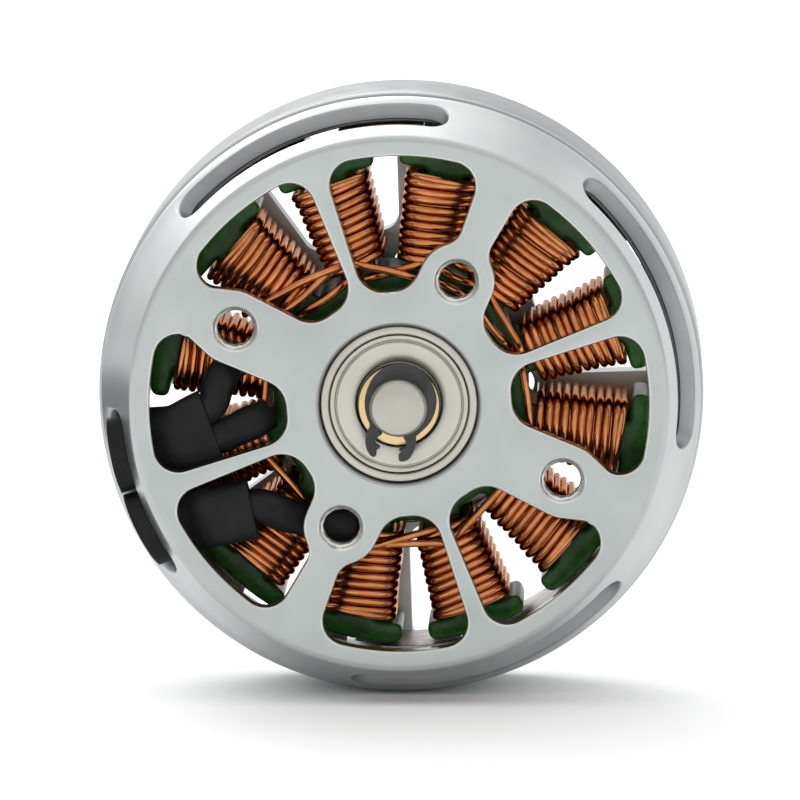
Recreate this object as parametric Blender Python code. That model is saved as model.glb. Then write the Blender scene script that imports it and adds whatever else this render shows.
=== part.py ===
"""Brushless outrunner motor, 42 mm across, with a 4 mm shaft, 12 stator teeth and 14 magnets.

The motor's axis is the Y axis. The mounting face lies in the plane y = 0 and looks along -Y, the
rotor bell turns behind it, +Z is up, and the origin is the middle of the mounting face. Sizes are
written in millimetres and turned into metres where a mesh is made. Angles are in degrees, counted
anticlockwise from +X as the mounting face is looked at.
"""
import math

import bmesh
import bpy
from mathutils import Matrix, Vector

MM = 0.001

# Fits
SEAT_GAP = 0.1          # between pieces that are pressed or slid together
REST_GAP = 0.2          # between pieces that lie against each other

# Base: mounting plate, tapered rim and bearing tube
PLATE_THICKNESS = 1.6
FACE_RADIUS = 18.7
RIM_RADIUS = 20.95
RIM_DEPTH = 5.9
RIM_WALL = 1.0
RIM_SLOT_FRONT = 1.75
RIM_SLOT_BACK = 4.45
RIM_SLOT_HALF_ANGLE = 29.8
LEAD_SLOT_HALF_ANGLE = 17.7
SPOKE_ANGLE = 20.1      # first narrow spoke; the others follow every 90 degrees
WINDOW_OUTER = 17.3
WINDOW_INNER = 8.0
NARROW_SPOKE_HALF_ANGLE = 2.45
TUBE_OUTER = 7.0
TUBE_END = 15.2

# Mounting holes: M3 threads on crossed 19 mm and 25 mm patterns
SCREW_CORE_RADIUS = 1.25
SCREW_CHAMFER_RADIUS = 1.6
SCREW_CHAMFER_DEPTH = 0.35
BOSS_RADIUS = 2.4
BOSS_END = 2.0
BITE_RADIUS = 2.6       # of the windows' edges round the bosses
NEAR_PATTERN_RADIUS = 9.5
FAR_PATTERN_RADIUS = 12.5

# Ball bearings, 4 x 11 x 4 mm
BEARING_RADIUS = 5.5
BEARING_WIDTH = 4.0
BEARING_FRONT_START = 0.4
BEARING_REAR_START = TUBE_END - BEARING_WIDTH
INNER_RING_RADIUS = 3.0
OUTER_RING_BORE = 4.5
BALL_COUNT = 7
BALL_RADIUS = 0.68
BALL_PITCH_RADIUS = 3.75

# Shaft and what sits on it
SHAFT_RADIUS = 2.0
SHAFT_FRONT = -2.1
SHAFT_REAR = 20.2
GROOVE_RADIUS = 1.7
CIRCLIP_FRONT = -0.75
CIRCLIP_BACK = -0.15
SHIM_RADIUS = 2.85

# Stator
TOOTH_COUNT = 12
TOOTH_PHASE = 18.5
STATOR_RADIUS = 17.5
STATOR_BORE = 7.15
STATOR_HUB_RADIUS = 8.9
CORE_FRONT = 5.3
CORE_BACK = 11.7
INSULATION = 0.45
TOOTH_HALF_WIDTH = 1.3
TIP_HALF_ANGLE = 11.9
TIP_EDGE_RADIUS = 16.3
TIP_ROOT_RADIUS = 15.9

# Windings
COIL_FRONT = 3.3
COIL_BACK = 13.7
COIL_INNER = 10.1
COIL_OUTER = 15.65
COIL_HALF_WIDTH_INNER = 2.2
COIL_HALF_WIDTH_OUTER = 2.85
WIRE_RADIUS = 0.25

# Rotor
MAGNET_COUNT = 14
MAGNET_PHASE = 17.2
MAGNET_HALF_ANGLE = 9.2
MAGNET_INNER = 17.95
MAGNET_OUTER = 18.95
MAGNET_FRONT = 6.6
MAGNET_BACK = 13.6
FLUX_RING_OUTER = 20.05
FLUX_RING_FRONT = 6.4
FLUX_RING_BACK = 13.75
BELL_RADIUS = 21.15
BELL_FRONT = 6.15
BELL_SKIRT_BACK = 15.4
BELL_BACK = 17.0
BELL_BACK_RADIUS = 18.6
BELL_WEB_FRONT = 14.6
BELL_ARM_COUNT = 8
BELL_ARM_PHASE = -3.5
BELL_ARM_HALF_ANGLE = 5.3
BELL_WINDOW_INNER = 10.9
BELL_WINDOW_OUTER = 19.5
HUB_RADIUS = 10.4
HUB_FRONT = 15.5
HUB_FACE = 17.8
PILOT_RADIUS = 4.6
PROP_PATTERN_RADIUS = 8.0
GRUB_RADIUS = 0.95
GRUB_DEPTH = 19.0

# Leads, as runs of (x, z, depth, half width, half thickness) from the windings out to the rim
LEAD_RUNS = {
    "lead_sleeve_ab": [
        (-13.2, -1.7, 2.05, 2.6, 1.15), (-15.1, -2.4, 1.95, 2.35, 1.2),
        (-16.3, -2.85, 2.5, 2.2, 1.1), (-17.2, -3.2, 2.95, 2.15, 1.15),
        (-18.4, -3.75, 3.12, 2.15, 1.15), (-19.85, -4.3, 3.12, 2.15, 1.15)],
    "lead_sleeve_c": [
        (-10.3, -7.5, 1.95, 2.25, 1.2), (-12.9, -8.05, 1.95, 2.2, 1.2),
        (-14.4, -8.4, 2.6, 2.15, 0.95), (-15.6, -8.65, 2.95, 2.1, 1.1),
        (-16.8, -8.95, 3.12, 2.1, 1.15), (-18.1, -9.25, 3.12, 2.1, 1.15)],
    "lead_tube_a": [
        (-13.22, -0.45, 2.1, 1.1, 0.95), (-12.85, -0.1, 2.1, 1.1, 0.95),
        (-12.7, 0.9, 2.1, 1.15, 0.95), (-12.3, 1.75, 2.25, 1.15, 0.9),
        (-11.7, 2.4, 2.65, 1.1, 0.5), (-11.1, 2.7, 2.65, 1.1, 0.5)],
    "lead_tube_b": [
        (-12.45, -2.55, 2.1, 1.2, 1.0), (-11.3, -2.05, 2.1, 1.2, 1.0),
        (-10.1, -1.5, 2.2, 1.2, 0.9), (-9.1, -1.0, 2.7, 1.1, 0.7)],
    "lead_tube_c": [
        (-9.7, -7.4, 2.1, 1.25, 1.0), (-8.6, -7.75, 2.1, 1.25, 1.0),
        (-7.4, -8.3, 2.3, 1.15, 0.9), (-6.8, -8.8, 2.65, 1.1, 0.5)],
}
SOCKET_RADIUS = 0.9
SOCKET_BORE_RADIUS = 0.55
SOCKET_BORE_END = 0.5   # solid length left behind the bore
SOCKET_LENGTH = 2.0
SOCKET_SPREAD = 1.1     # of the two sockets that share a sleeve, to each side of its middle

# How finely round pieces are cut into facets
BIG_SEGMENTS = 48
RING_SEGMENTS = 28
SMALL_SEGMENTS = 16


# ---------------------------------------------------------------- places and outlines

def at(radius, angle, depth):
    """The point at a radius and angle round the motor's axis, and a depth behind the face."""
    turn = math.radians(angle)
    return Vector((radius * math.cos(turn), depth, radius * math.sin(turn))) * MM


def polar(radius, angle):
    """The flat point at a radius and angle, in millimetres."""
    turn = math.radians(angle)
    return Vector((radius * math.cos(turn), radius * math.sin(turn)))


def rounded_outline(corners, arc_step=20.0):
    """A closed outline through corners given as (point, radius), each corner rounded by an arc."""
    large_radius = 10.0
    large_step = 6.0
    outline = []
    count = len(corners)
    for index, (corner, radius) in enumerate(corners):
        before = (corners[index - 1][0] - corner).normalized()
        after = (corners[(index + 1) % count][0] - corner).normalized()
        opening = before.angle(after)
        turn = math.pi - opening
        if radius <= 0 or turn < 1e-4:
            outline.append(corner.copy())
            continue
        reach = radius * math.tan(turn / 2)
        start = corner + before * reach
        centre = corner + (before + after).normalized() * (radius / math.sin(opening / 2))
        spoke = start - centre
        side = 1.0 if before.x * after.y - before.y * after.x < 0 else -1.0
        wanted = large_step if radius > large_radius else arc_step
        steps = max(1, round(math.degrees(turn) / wanted))
        for step in range(steps + 1):
            angle = side * turn * step / steps
            cosine = math.cos(angle)
            sine = math.sin(angle)
            outline.append(centre + Vector((spoke.x * cosine - spoke.y * sine,
                                            spoke.x * sine + spoke.y * cosine)))
    return outline


# ---------------------------------------------------------------- meshes and objects

def make_material(name, colour, roughness, metallic):
    material = bpy.data.materials.new(name)
    material.use_nodes = True
    shader = material.node_tree.nodes["Principled BSDF"]
    shader.inputs["Base Color"].default_value = (*colour, 1.0)
    shader.inputs["Roughness"].default_value = roughness
    shader.inputs["Metallic"].default_value = metallic
    material.diffuse_color = (*colour, 1.0)
    return material


def add_object(name, mesh, material, parent=None, smooth_angle=35.0):
    """Put a mesh in the scene as a named piece, smooth except at its sharp edges."""
    mesh.shade_smooth()
    mesh.set_sharp_from_angle(angle=math.radians(smooth_angle))
    mesh.materials.append(material)
    piece = bpy.data.objects.new(name, mesh)
    bpy.context.scene.collection.objects.link(piece)
    piece.parent = parent
    return piece


def finish_mesh(name, work):
    """Turn a bmesh into a mesh whose faces all point outwards."""
    bmesh.ops.remove_doubles(work, verts=work.verts, dist=1e-7)
    bmesh.ops.recalc_face_normals(work, faces=work.faces)
    mesh = bpy.data.meshes.new(name)
    work.to_mesh(mesh)
    work.free()
    return mesh


def turned_mesh(name, profile, segments):
    """Spin a profile of (radius, depth) points once round the motor's axis.

    A profile whose ends both lie on the axis makes a solid; any other profile is a closed loop.
    """
    work = bmesh.new()
    points = [work.verts.new(at(radius, 0, depth)) for radius, depth in profile]
    on_axis = profile[0][0] == 0 and profile[-1][0] == 0
    pairs = list(zip(points, points[1:]))
    if not on_axis:
        pairs.append((points[-1], points[0]))
    edges = [work.edges.new(pair) for pair in pairs]
    bmesh.ops.spin(work, geom=points + edges, cent=(0, 0, 0), axis=(0, 1, 0),
                   angle=math.tau, steps=segments, use_merge=True)
    return finish_mesh(name, work)


def extrude_outline(work, outline, front, back):
    """Add a prism to a bmesh: a flat outline of (x, z) points, from depth front to depth back."""
    corners = [work.verts.new(Vector((point.x, front, point.y)) * MM) for point in outline]
    face = work.faces.new(corners)
    grown = bmesh.ops.extrude_face_region(work, geom=[face])
    moved = [item for item in grown["geom"] if isinstance(item, bmesh.types.BMVert)]
    bmesh.ops.translate(work, verts=moved, vec=(0, (back - front) * MM, 0))


def prism_mesh(name, outlines, front, back):
    work = bmesh.new()
    for outline in outlines:
        extrude_outline(work, outline, front, back)
    return finish_mesh(name, work)


def add_cutter(name, mesh):
    cutter = bpy.data.objects.new(name, mesh)
    bpy.context.scene.collection.objects.link(cutter)
    cutter.hide_render = True
    cutter.display_type = "WIRE"
    return cutter


def boolean(piece, cutter, operation="DIFFERENCE", solver="EXACT"):
    modifier = piece.modifiers.new(cutter.name, "BOOLEAN")
    modifier.operation = operation
    modifier.object = cutter
    modifier.solver = solver


def drill_mesh(name, places, steps, segments=SMALL_SEGMENTS):
    """Round holes along Y: one stepped cutter of (radius, depth) steps at each (x, z) place."""
    work = bmesh.new()
    for place in places:
        rings = []
        for radius, depth in steps:
            ring = []
            for index in range(segments):
                rim = place + polar(radius, 360.0 * index / segments)
                ring.append(work.verts.new(Vector((rim.x, depth, rim.y)) * MM))
            rings.append(ring)
        work.faces.new(rings[0])
        work.faces.new(rings[-1])
        for ring, following in zip(rings, rings[1:]):
            for index in range(segments):
                neighbour = (index + 1) % segments
                work.faces.new((ring[index], ring[neighbour],
                                following[neighbour], following[index]))
    return finish_mesh(name, work)


def loft_mesh(name, stations, segments=16):
    """A closed soft tube of oval sections.

    Each station is (x, z, depth, half width, half thickness). The width lies in the plane of the
    face, square to the tube's run, and the thickness lies along the motor's axis.
    """
    work = bmesh.new()
    rings = []
    last = len(stations) - 1
    for index, (x, z, depth, half_width, half_thickness) in enumerate(stations):
        before = stations[max(index - 1, 0)]
        after = stations[min(index + 1, last)]
        run = Vector((after[0] - before[0], after[1] - before[1])).normalized()
        across = Vector((-run.y, run.x))
        ring = []
        for step in range(segments):
            turn = math.tau * step / segments
            side = across * (half_width * math.cos(turn))
            level = depth + half_thickness * math.sin(turn)
            ring.append(work.verts.new(Vector((x + side.x, level, z + side.y)) * MM))
        rings.append(ring)
    work.faces.new(rings[0])
    work.faces.new(rings[-1])
    for ring, following in zip(rings, rings[1:]):
        for step in range(segments):
            neighbour = (step + 1) % segments
            work.faces.new((ring[step], ring[neighbour], following[neighbour], following[step]))
    return finish_mesh(name, work)


# ---------------------------------------------------------------- base

def window_outline(side, hole_angle, hole_radius):
    """One window of the mounting plate, beside the screw hole at hole_angle.

    side is 1 for the window that follows the hole and -1 for the one before it. The outline runs
    along the outer arc, down the wide spoke, round the screw boss, round the inner end and back
    up the narrow spoke.
    """
    narrow = 45.0 - NARROW_SPOKE_HALF_ANGLE
    tangent_step = 8.0
    corner_radius = 1.7
    inner_corner_radius = 2.0
    if hole_radius == NEAR_PATTERN_RADIUS:
        wide = 5.4
        bite_corner = Vector((BITE_RADIUS, hole_radius + 1.1))
        neck = Vector((1.12, 12.1))
        inner = polar(WINDOW_INNER, 90.0 - 19.5)
    else:
        wide = 7.0
        bite_corner = Vector((BITE_RADIUS, hole_radius + 0.6))
        neck = polar(15.4, 90.0 - wide)
        inner = polar(WINDOW_INNER, 90.0 - 17.3)
    corner_reach = WINDOW_OUTER / math.cos(math.radians(tangent_step))
    middle = (wide + narrow) / 2
    middle_reach = WINDOW_OUTER / math.cos(math.radians((narrow - wide) / 2 - tangent_step))
    corners = [
        (polar(corner_reach, 90.0 - narrow), corner_radius),
        (polar(middle_reach, 90.0 - middle), WINDOW_OUTER),
        (polar(corner_reach, 90.0 - wide), corner_radius),
        (neck, 1.5),
        (bite_corner, BITE_RADIUS),
        (inner, inner_corner_radius),
        (polar(WINDOW_INNER, 90.0 - narrow), inner_corner_radius),
    ]
    outline = []
    for point in rounded_outline(corners):
        distance = point.length
        from_hole = 90.0 - math.degrees(math.atan2(point.y, point.x))
        outline.append(polar(distance, hole_angle + side * from_hole))
    return outline


def rim_slot_outline(half_angle, steps):
    """A slot with round ends, as (angle from its middle, depth) points."""
    middle = (RIM_SLOT_FRONT + RIM_SLOT_BACK) / 2
    half_height = (RIM_SLOT_BACK - RIM_SLOT_FRONT) / 2
    end_angle = math.degrees(half_height / RIM_RADIUS)
    straight = half_angle - end_angle
    end_steps = 6
    outline = []
    for step in range(steps + 1):
        outline.append((-straight + 2 * straight * step / steps, RIM_SLOT_FRONT))
    for step in range(1, end_steps):
        turn = math.pi * step / end_steps
        outline.append((straight + end_angle * math.sin(turn),
                        middle - half_height * math.cos(turn)))
    for step in range(steps + 1):
        outline.append((straight - 2 * straight * step / steps, RIM_SLOT_BACK))
    for step in range(1, end_steps):
        turn = math.pi * step / end_steps
        outline.append((-straight - end_angle * math.sin(turn),
                        middle + half_height * math.cos(turn)))
    return outline


def rim_slots_mesh():
    """The four slots milled through the tapered rim: three vents and the lead exit."""
    work = bmesh.new()
    cutter_inner = 18.0
    cutter_outer = RIM_RADIUS + 1.0
    for quarter in range(4):
        centre = SPOKE_ANGLE + 90.0 * quarter
        lead_exit = quarter == 2
        half_angle = LEAD_SLOT_HALF_ANGLE if lead_exit else RIM_SLOT_HALF_ANGLE
        outline = rim_slot_outline(half_angle, 5 if lead_exit else 8)
        shells = []
        for radius in (cutter_inner, cutter_outer):
            shells.append([work.verts.new(at(radius, centre + angle, depth))
                           for angle, depth in outline])
        inner, outer = shells
        count = len(outline)
        straight_steps = (count - 10) // 2
        for shell in shells:
            for step in range(straight_steps - 1):
                across = count - 5 - 1 - step
                work.faces.new((shell[step], shell[step + 1],
                                shell[across - 1], shell[across]))
            first_end = shell[straight_steps - 1:straight_steps + 6]
            last_end = shell[count - 6:] + [shell[0]]
            work.faces.new(first_end)
            work.faces.new(last_end)
        for index in range(count):
            following = (index + 1) % count
            work.faces.new((inner[index], inner[following], outer[following], outer[index]))
    return finish_mesh("rim_slots", work)


def screw_places():
    """The mounting holes as (angle, radius): near and far patterns in turn."""
    places = []
    for quarter in range(4):
        radius = NEAR_PATTERN_RADIUS if quarter % 2 == 0 else FAR_PATTERN_RADIUS
        places.append((SPOKE_ANGLE + 45.0 + 90.0 * quarter, radius))
    return places


def build_base(material):
    back = PLATE_THICKNESS
    plate_profile = [
        (TUBE_OUTER - 0.5, 0.0), (FACE_RADIUS - 0.2, 0.0), (FACE_RADIUS, 0.15),
        (RIM_RADIUS - 0.2, 5.0), (RIM_RADIUS, RIM_DEPTH - 0.4), (RIM_RADIUS, RIM_DEPTH),
        (RIM_RADIUS - RIM_WALL, RIM_DEPTH), (RIM_RADIUS - 0.2 - RIM_WALL, 5.0),
        (FACE_RADIUS - 0.4, back), (TUBE_OUTER - 0.5, back)]
    base = add_object("base", turned_mesh("base", plate_profile, BIG_SEGMENTS), material)

    seat = BEARING_RADIUS + SEAT_GAP / 2
    front_seat_end = BEARING_FRONT_START + BEARING_WIDTH + SEAT_GAP
    rear_seat_start = BEARING_REAR_START - SEAT_GAP
    shoulder = BEARING_RADIUS - 0.6
    tube_profile = [
        (seat + 0.4, 0.0), (TUBE_OUTER, 0.0), (TUBE_OUTER, TUBE_END), (seat, TUBE_END),
        (seat, rear_seat_start), (shoulder, rear_seat_start), (shoulder, front_seat_end),
        (seat, front_seat_end), (seat, 0.35)]
    tube = add_cutter("bearing_tube", turned_mesh("bearing_tube", tube_profile, RING_SEGMENTS))
    boolean(base, tube, "UNION")

    hole_places = [polar(radius, angle) for angle, radius in screw_places()]
    boss_steps = [(BOSS_RADIUS, PLATE_THICKNESS / 2), (BOSS_RADIUS, BOSS_END)]
    bosses = add_cutter("screw_bosses", drill_mesh("screw_bosses", hole_places, boss_steps))
    boolean(base, bosses, "UNION")

    outlines = []
    for angle, radius in screw_places():
        for side in (1, -1):
            outlines.append(window_outline(side, angle, radius))
    windows = prism_mesh("plate_windows", outlines, -1.0, BOSS_END + 1.0)
    # Only the manifold solver cuts these eight closed prisms out of the joined plate.
    boolean(base, add_cutter("plate_windows", windows), solver="MANIFOLD")
    boolean(base, add_cutter("rim_slots", rim_slots_mesh()))

    hole_steps = [(SCREW_CHAMFER_RADIUS + 1.0, -1.0), (SCREW_CHAMFER_RADIUS, 0.0),
                  (SCREW_CORE_RADIUS, SCREW_CHAMFER_DEPTH), (SCREW_CORE_RADIUS, BOSS_END + 1.0)]
    holes = drill_mesh("screw_holes", hole_places, hole_steps)
    boolean(base, add_cutter("screw_holes", holes))
    return base


# ---------------------------------------------------------------- bearings and shaft

def ring_profile(inner, outer, front, back, chamfer=0.0):
    if chamfer == 0.0:
        return [(inner, front), (outer, front), (outer, back), (inner, back)]
    return [(inner, front), (outer - chamfer, front), (outer, front + chamfer),
            (outer, back - chamfer), (outer - chamfer, back), (inner, back)]


def cage_mesh(name, start):
    """A crown cage: a flat ring behind the balls, with a finger between each two balls."""
    inner = 3.45
    outer = 4.05
    ball_clearance = 0.24
    ring_front = start + BEARING_WIDTH / 2 + BALL_RADIUS - 0.2
    ring_back = ring_front + 0.35
    finger_front = start + BEARING_WIDTH / 2 - 0.3
    offsets = (-ball_clearance, -ball_clearance / 2, ball_clearance / 2, ball_clearance)
    per_ball = len(offsets)
    count = BALL_COUNT * per_ball
    work = bmesh.new()
    rings = []
    for radius, depth in ((inner, ring_front), (outer, ring_front),
                          (outer, ring_back), (inner, ring_back)):
        ring = []
        for index in range(count):
            place = index // per_ball + offsets[index % per_ball]
            ring.append(work.verts.new(at(radius, 360.0 / BALL_COUNT * place, depth)))
        rings.append(ring)
    fingers = []
    for side in range(4):
        ring = rings[side]
        following = rings[(side + 1) % 4]
        for index in range(count):
            neighbour = (index + 1) % count
            face = work.faces.new((ring[index], ring[neighbour],
                                   following[neighbour], following[index]))
            if side == 0 and index % per_ball == per_ball - 1:
                fingers.append(face)
    for face in fingers:
        grown = bmesh.ops.extrude_face_region(work, geom=[face])
        moved = [item for item in grown["geom"] if isinstance(item, bmesh.types.BMVert)]
        bmesh.ops.translate(work, verts=moved, vec=(0, (finger_front - ring_front) * MM, 0))
    bmesh.ops.delete(work, geom=fingers, context="FACES_ONLY")
    return finish_mesh(name, work)


def balls_mesh(name, start):
    work = bmesh.new()
    for index in range(BALL_COUNT):
        centre = at(BALL_PITCH_RADIUS, 360.0 * index / BALL_COUNT, start + BEARING_WIDTH / 2)
        bmesh.ops.create_uvsphere(work, u_segments=7, v_segments=4, radius=BALL_RADIUS * MM,
                                  matrix=Matrix.Translation(centre))
    return finish_mesh(name, work)


def build_bearing(which, start, steel, shield, brass, rotor, cage_axis):
    """One shielded ball bearing: rings, shields, and the balls in their cage as one piece."""
    end = start + BEARING_WIDTH
    outer = ring_profile(OUTER_RING_BORE, BEARING_RADIUS - SEAT_GAP / 2, start, end, 0.2)
    add_object(f"{which}_bearing_outer_ring",
               turned_mesh("outer_ring", outer, RING_SEGMENTS), steel)
    inner = ring_profile(SHAFT_RADIUS + SEAT_GAP, INNER_RING_RADIUS, start, end)
    add_object(f"{which}_bearing_inner_ring",
               turned_mesh("inner_ring", inner, RING_SEGMENTS), steel, rotor)
    thickness = 0.2
    inset = 0.15
    for face, front in (("front", start + inset), ("rear", end - inset - thickness)):
        plate = ring_profile(INNER_RING_RADIUS + SEAT_GAP, OUTER_RING_BORE - SEAT_GAP,
                             front, front + thickness)
        add_object(f"{which}_bearing_{face}_shield",
                   turned_mesh("shield", plate, RING_SEGMENTS), shield)
    cage = add_object(f"{which}_bearing_cage_and_balls", cage_mesh("cage", start), brass,
                      cage_axis)
    boolean(cage, add_cutter(f"{which}_balls", balls_mesh("balls", start)), "UNION")


def build_shaft(material, rotor):
    chamfer = 0.25
    groove_front = CIRCLIP_FRONT - SEAT_GAP
    groove_back = CIRCLIP_BACK + SEAT_GAP
    profile = [
        (0, SHAFT_FRONT), (SHAFT_RADIUS - chamfer, SHAFT_FRONT),
        (SHAFT_RADIUS, SHAFT_FRONT + chamfer), (SHAFT_RADIUS, groove_front),
        (GROOVE_RADIUS, groove_front), (GROOVE_RADIUS, groove_back),
        (SHAFT_RADIUS, groove_back), (SHAFT_RADIUS, SHAFT_REAR - chamfer),
        (SHAFT_RADIUS - chamfer, SHAFT_REAR), (0, SHAFT_REAR)]
    add_object("shaft", turned_mesh("shaft", profile, RING_SEGMENTS), material, rotor)


def circlip_outline():
    """A snap ring, thick at its back and thin at its legs, with a hooked ear on each leg."""
    back_angle = 72.0
    opening_half = 168.0
    inner = GROOVE_RADIUS + SEAT_GAP
    thick = 2.95
    thin = 2.45
    steps = 24
    outer_side = []
    inner_side = []
    for step in range(steps + 1):
        swing = -opening_half + 2 * opening_half * step / steps
        share = (1 + math.cos(math.radians(swing))) / 2
        outer_side.append(polar(thin + (thick - thin) * share, back_angle + swing))
        inner_side.append(polar(inner, back_angle + swing))
    ear_reach = 4.15
    first_ear = [(ear_reach - 0.5, 6.0), (ear_reach, -3.0), (ear_reach - 0.35, -9.0),
                 (ear_reach - 1.0, -6.0)]
    end_angle = back_angle + opening_half
    after = [polar(radius, end_angle - turn) for radius, turn in first_ear]
    start_angle = back_angle - opening_half
    before = [polar(radius, start_angle + turn) for radius, turn in reversed(first_ear)]
    trimmed = outer_side[1:-1]
    return trimmed + after + list(reversed(inner_side)) + before


def build_shaft_fittings(clip, brass, rotor):
    outline = circlip_outline()
    add_object("circlip", prism_mesh("circlip", [outline], CIRCLIP_FRONT, CIRCLIP_BACK),
               clip, rotor)
    shim = ring_profile(SHAFT_RADIUS + SEAT_GAP, SHIM_RADIUS, CIRCLIP_BACK + SEAT_GAP,
                        BEARING_FRONT_START - SEAT_GAP)
    add_object("brass_shim", turned_mesh("brass_shim", shim, RING_SEGMENTS), brass, rotor)


# ---------------------------------------------------------------- stator

def stator_outline():
    """The toothed outline of the laminations, tooth after tooth."""
    outline = []
    root_half = math.degrees(math.asin(TOOTH_HALF_WIDTH / STATOR_HUB_RADIUS))
    arc_steps = 2
    for tooth in range(TOOTH_COUNT):
        centre = TOOTH_PHASE + 360.0 * tooth / TOOTH_COUNT
        across = Matrix.Rotation(math.radians(centre), 2)
        half = []
        half.append(polar(STATOR_HUB_RADIUS, -root_half))
        half.append(Vector((TIP_ROOT_RADIUS, -TOOTH_HALF_WIDTH)))
        half.append(polar(TIP_EDGE_RADIUS, -TIP_HALF_ANGLE))
        tip_corner = TIP_HALF_ANGLE - 1.0
        half.append(polar(STATOR_RADIUS - 0.25, -TIP_HALF_ANGLE))
        for step in range(arc_steps):
            half.append(polar(STATOR_RADIUS, -tip_corner + tip_corner * step / arc_steps))
        middle = polar(STATOR_RADIUS, 0)
        other_half = [Vector((point.x, -point.y)) for point in reversed(half)]
        outline.extend(across @ point for point in half + [middle] + other_half)
    return outline


def build_stator(steel, epoxy):
    """The lamination stack between its two insulation layers, all three with the same outline."""
    outline = stator_outline()
    touch = 0.05
    layers = (
        ("stator_core", CORE_FRONT, CORE_BACK, steel),
        ("front_insulation", CORE_FRONT - INSULATION, CORE_FRONT - touch, epoxy),
        ("rear_insulation", CORE_BACK + touch, CORE_BACK + INSULATION, epoxy))
    bore_steps = [(STATOR_BORE, CORE_FRONT - 1.0), (STATOR_BORE, CORE_BACK + 1.0)]
    bore_mesh = drill_mesh("stator_bore", [Vector((0.0, 0.0))], bore_steps, RING_SEGMENTS)
    bore = add_cutter("stator_bore", bore_mesh)
    for name, front, back, material in layers:
        layer = add_object(name, prism_mesh(name, [outline], front, back), material)
        boolean(layer, bore)


def coil_mesh():
    """The outer shape of one winding, round the tooth that points along +X."""
    work = bmesh.new()
    depth_middle = (COIL_FRONT + COIL_BACK) / 2
    half_length = (COIL_BACK - COIL_FRONT) / 2
    tooth_gap = 0.15
    core_half_length = (CORE_BACK - CORE_FRONT) / 2 + INSULATION + tooth_gap
    core_half_width = TOOTH_HALF_WIDTH + tooth_gap
    sections = []
    for radius, half_width in ((COIL_INNER, COIL_HALF_WIDTH_INNER),
                               (COIL_OUTER, COIL_HALF_WIDTH_OUTER)):
        for width, length, rounding in ((half_width, half_length, 1.5),
                                        (core_half_width, core_half_length, 0.2)):
            corners = [(Vector((width * right, length * up)), rounding)
                       for right, up in ((1, 1), (-1, 1), (-1, -1), (1, -1))]
            loop = rounded_outline(corners, 22.5)
            sections.append([work.verts.new(Vector((radius, depth_middle + p.y, p.x)) * MM)
                             for p in loop])
    inner_outside, inner_hole, outer_outside, outer_hole = sections
    count = len(inner_outside)
    for first, second in ((inner_outside, outer_outside), (inner_hole, outer_hole),
                          (inner_outside, inner_hole), (outer_outside, outer_hole)):
        for index in range(count):
            neighbour = (index + 1) % count
            work.faces.new((first[index], first[neighbour], second[neighbour], second[index]))
    return finish_mesh("coil", work)


def build_coils(copper):
    mesh = coil_mesh()
    for tooth in range(TOOTH_COUNT):
        coil = add_object(f"coil_{tooth + 1:02d}", mesh, copper)
        mesh = coil.data.copy()
        mesh.materials.clear()
        angle = TOOTH_PHASE + 360.0 * tooth / TOOTH_COUNT
        coil.rotation_euler = (0, -math.radians(angle), 0)
    bpy.data.meshes.remove(mesh)


def build_crossovers(copper):
    """The wires that lead each phase from one coil to the next, in the ring inside the coils."""
    ring_radius = 9.5
    bow = 0.35
    sweep = 52.0
    points_per_wire = 10
    depth = COIL_FRONT + 0.55
    for phase, letter in enumerate("abc"):
        curve = bpy.data.curves.new(f"crossover_wire_{letter}", "CURVE")
        curve.dimensions = "3D"
        curve.bevel_depth = WIRE_RADIUS * MM
        curve.bevel_resolution = 1
        curve.use_fill_caps = True
        start = TOOTH_PHASE + 120.0 * phase + 4.0
        spline = curve.splines.new("POLY")
        spline.points.add(points_per_wire - 1)
        for index in range(points_per_wire):
            share = index / (points_per_wire - 1)
            radius = ring_radius + bow * math.cos(math.tau * share)
            place = at(radius, start + sweep * share, depth)
            spline.points[index].co = (*place, 1.0)
        curve.materials.append(copper)
        wire = bpy.data.objects.new(f"crossover_wire_{letter}", curve)
        bpy.context.scene.collection.objects.link(wire)


# ---------------------------------------------------------------- leads

def socket_places():
    """Each bullet socket as (letter, its sleeve's name, end point in x and z, run direction)."""
    places = []
    for sleeve, letters in (("lead_sleeve_ab", "ab"), ("lead_sleeve_c", "c")):
        before = Vector(LEAD_RUNS[sleeve][-2][:2])
        end = Vector(LEAD_RUNS[sleeve][-1][:2])
        run = (end - before).normalized()
        across = Vector((-run.y, run.x))
        for index, letter in enumerate(letters):
            offset = SOCKET_SPREAD * (2 * index - 1) if len(letters) == 2 else 0.0
            places.append((letter, sleeve, end + across * offset, run))
    return places


def rod_along(work, start, run, depth, radius, length, segments=14):
    """Add a closed rod to a bmesh, from start along run in the plane of the face."""
    direction = Vector((run.x, 0, run.y))
    turn = direction.to_track_quat("Z", "Y").to_matrix().to_4x4()
    middle = Vector((start.x, depth, start.y)) * MM + direction * (length * MM / 2)
    bmesh.ops.create_cone(work, cap_ends=True, segments=segments, radius1=radius * MM,
                          radius2=radius * MM, depth=length * MM,
                          matrix=Matrix.Translation(middle) @ turn)


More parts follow.
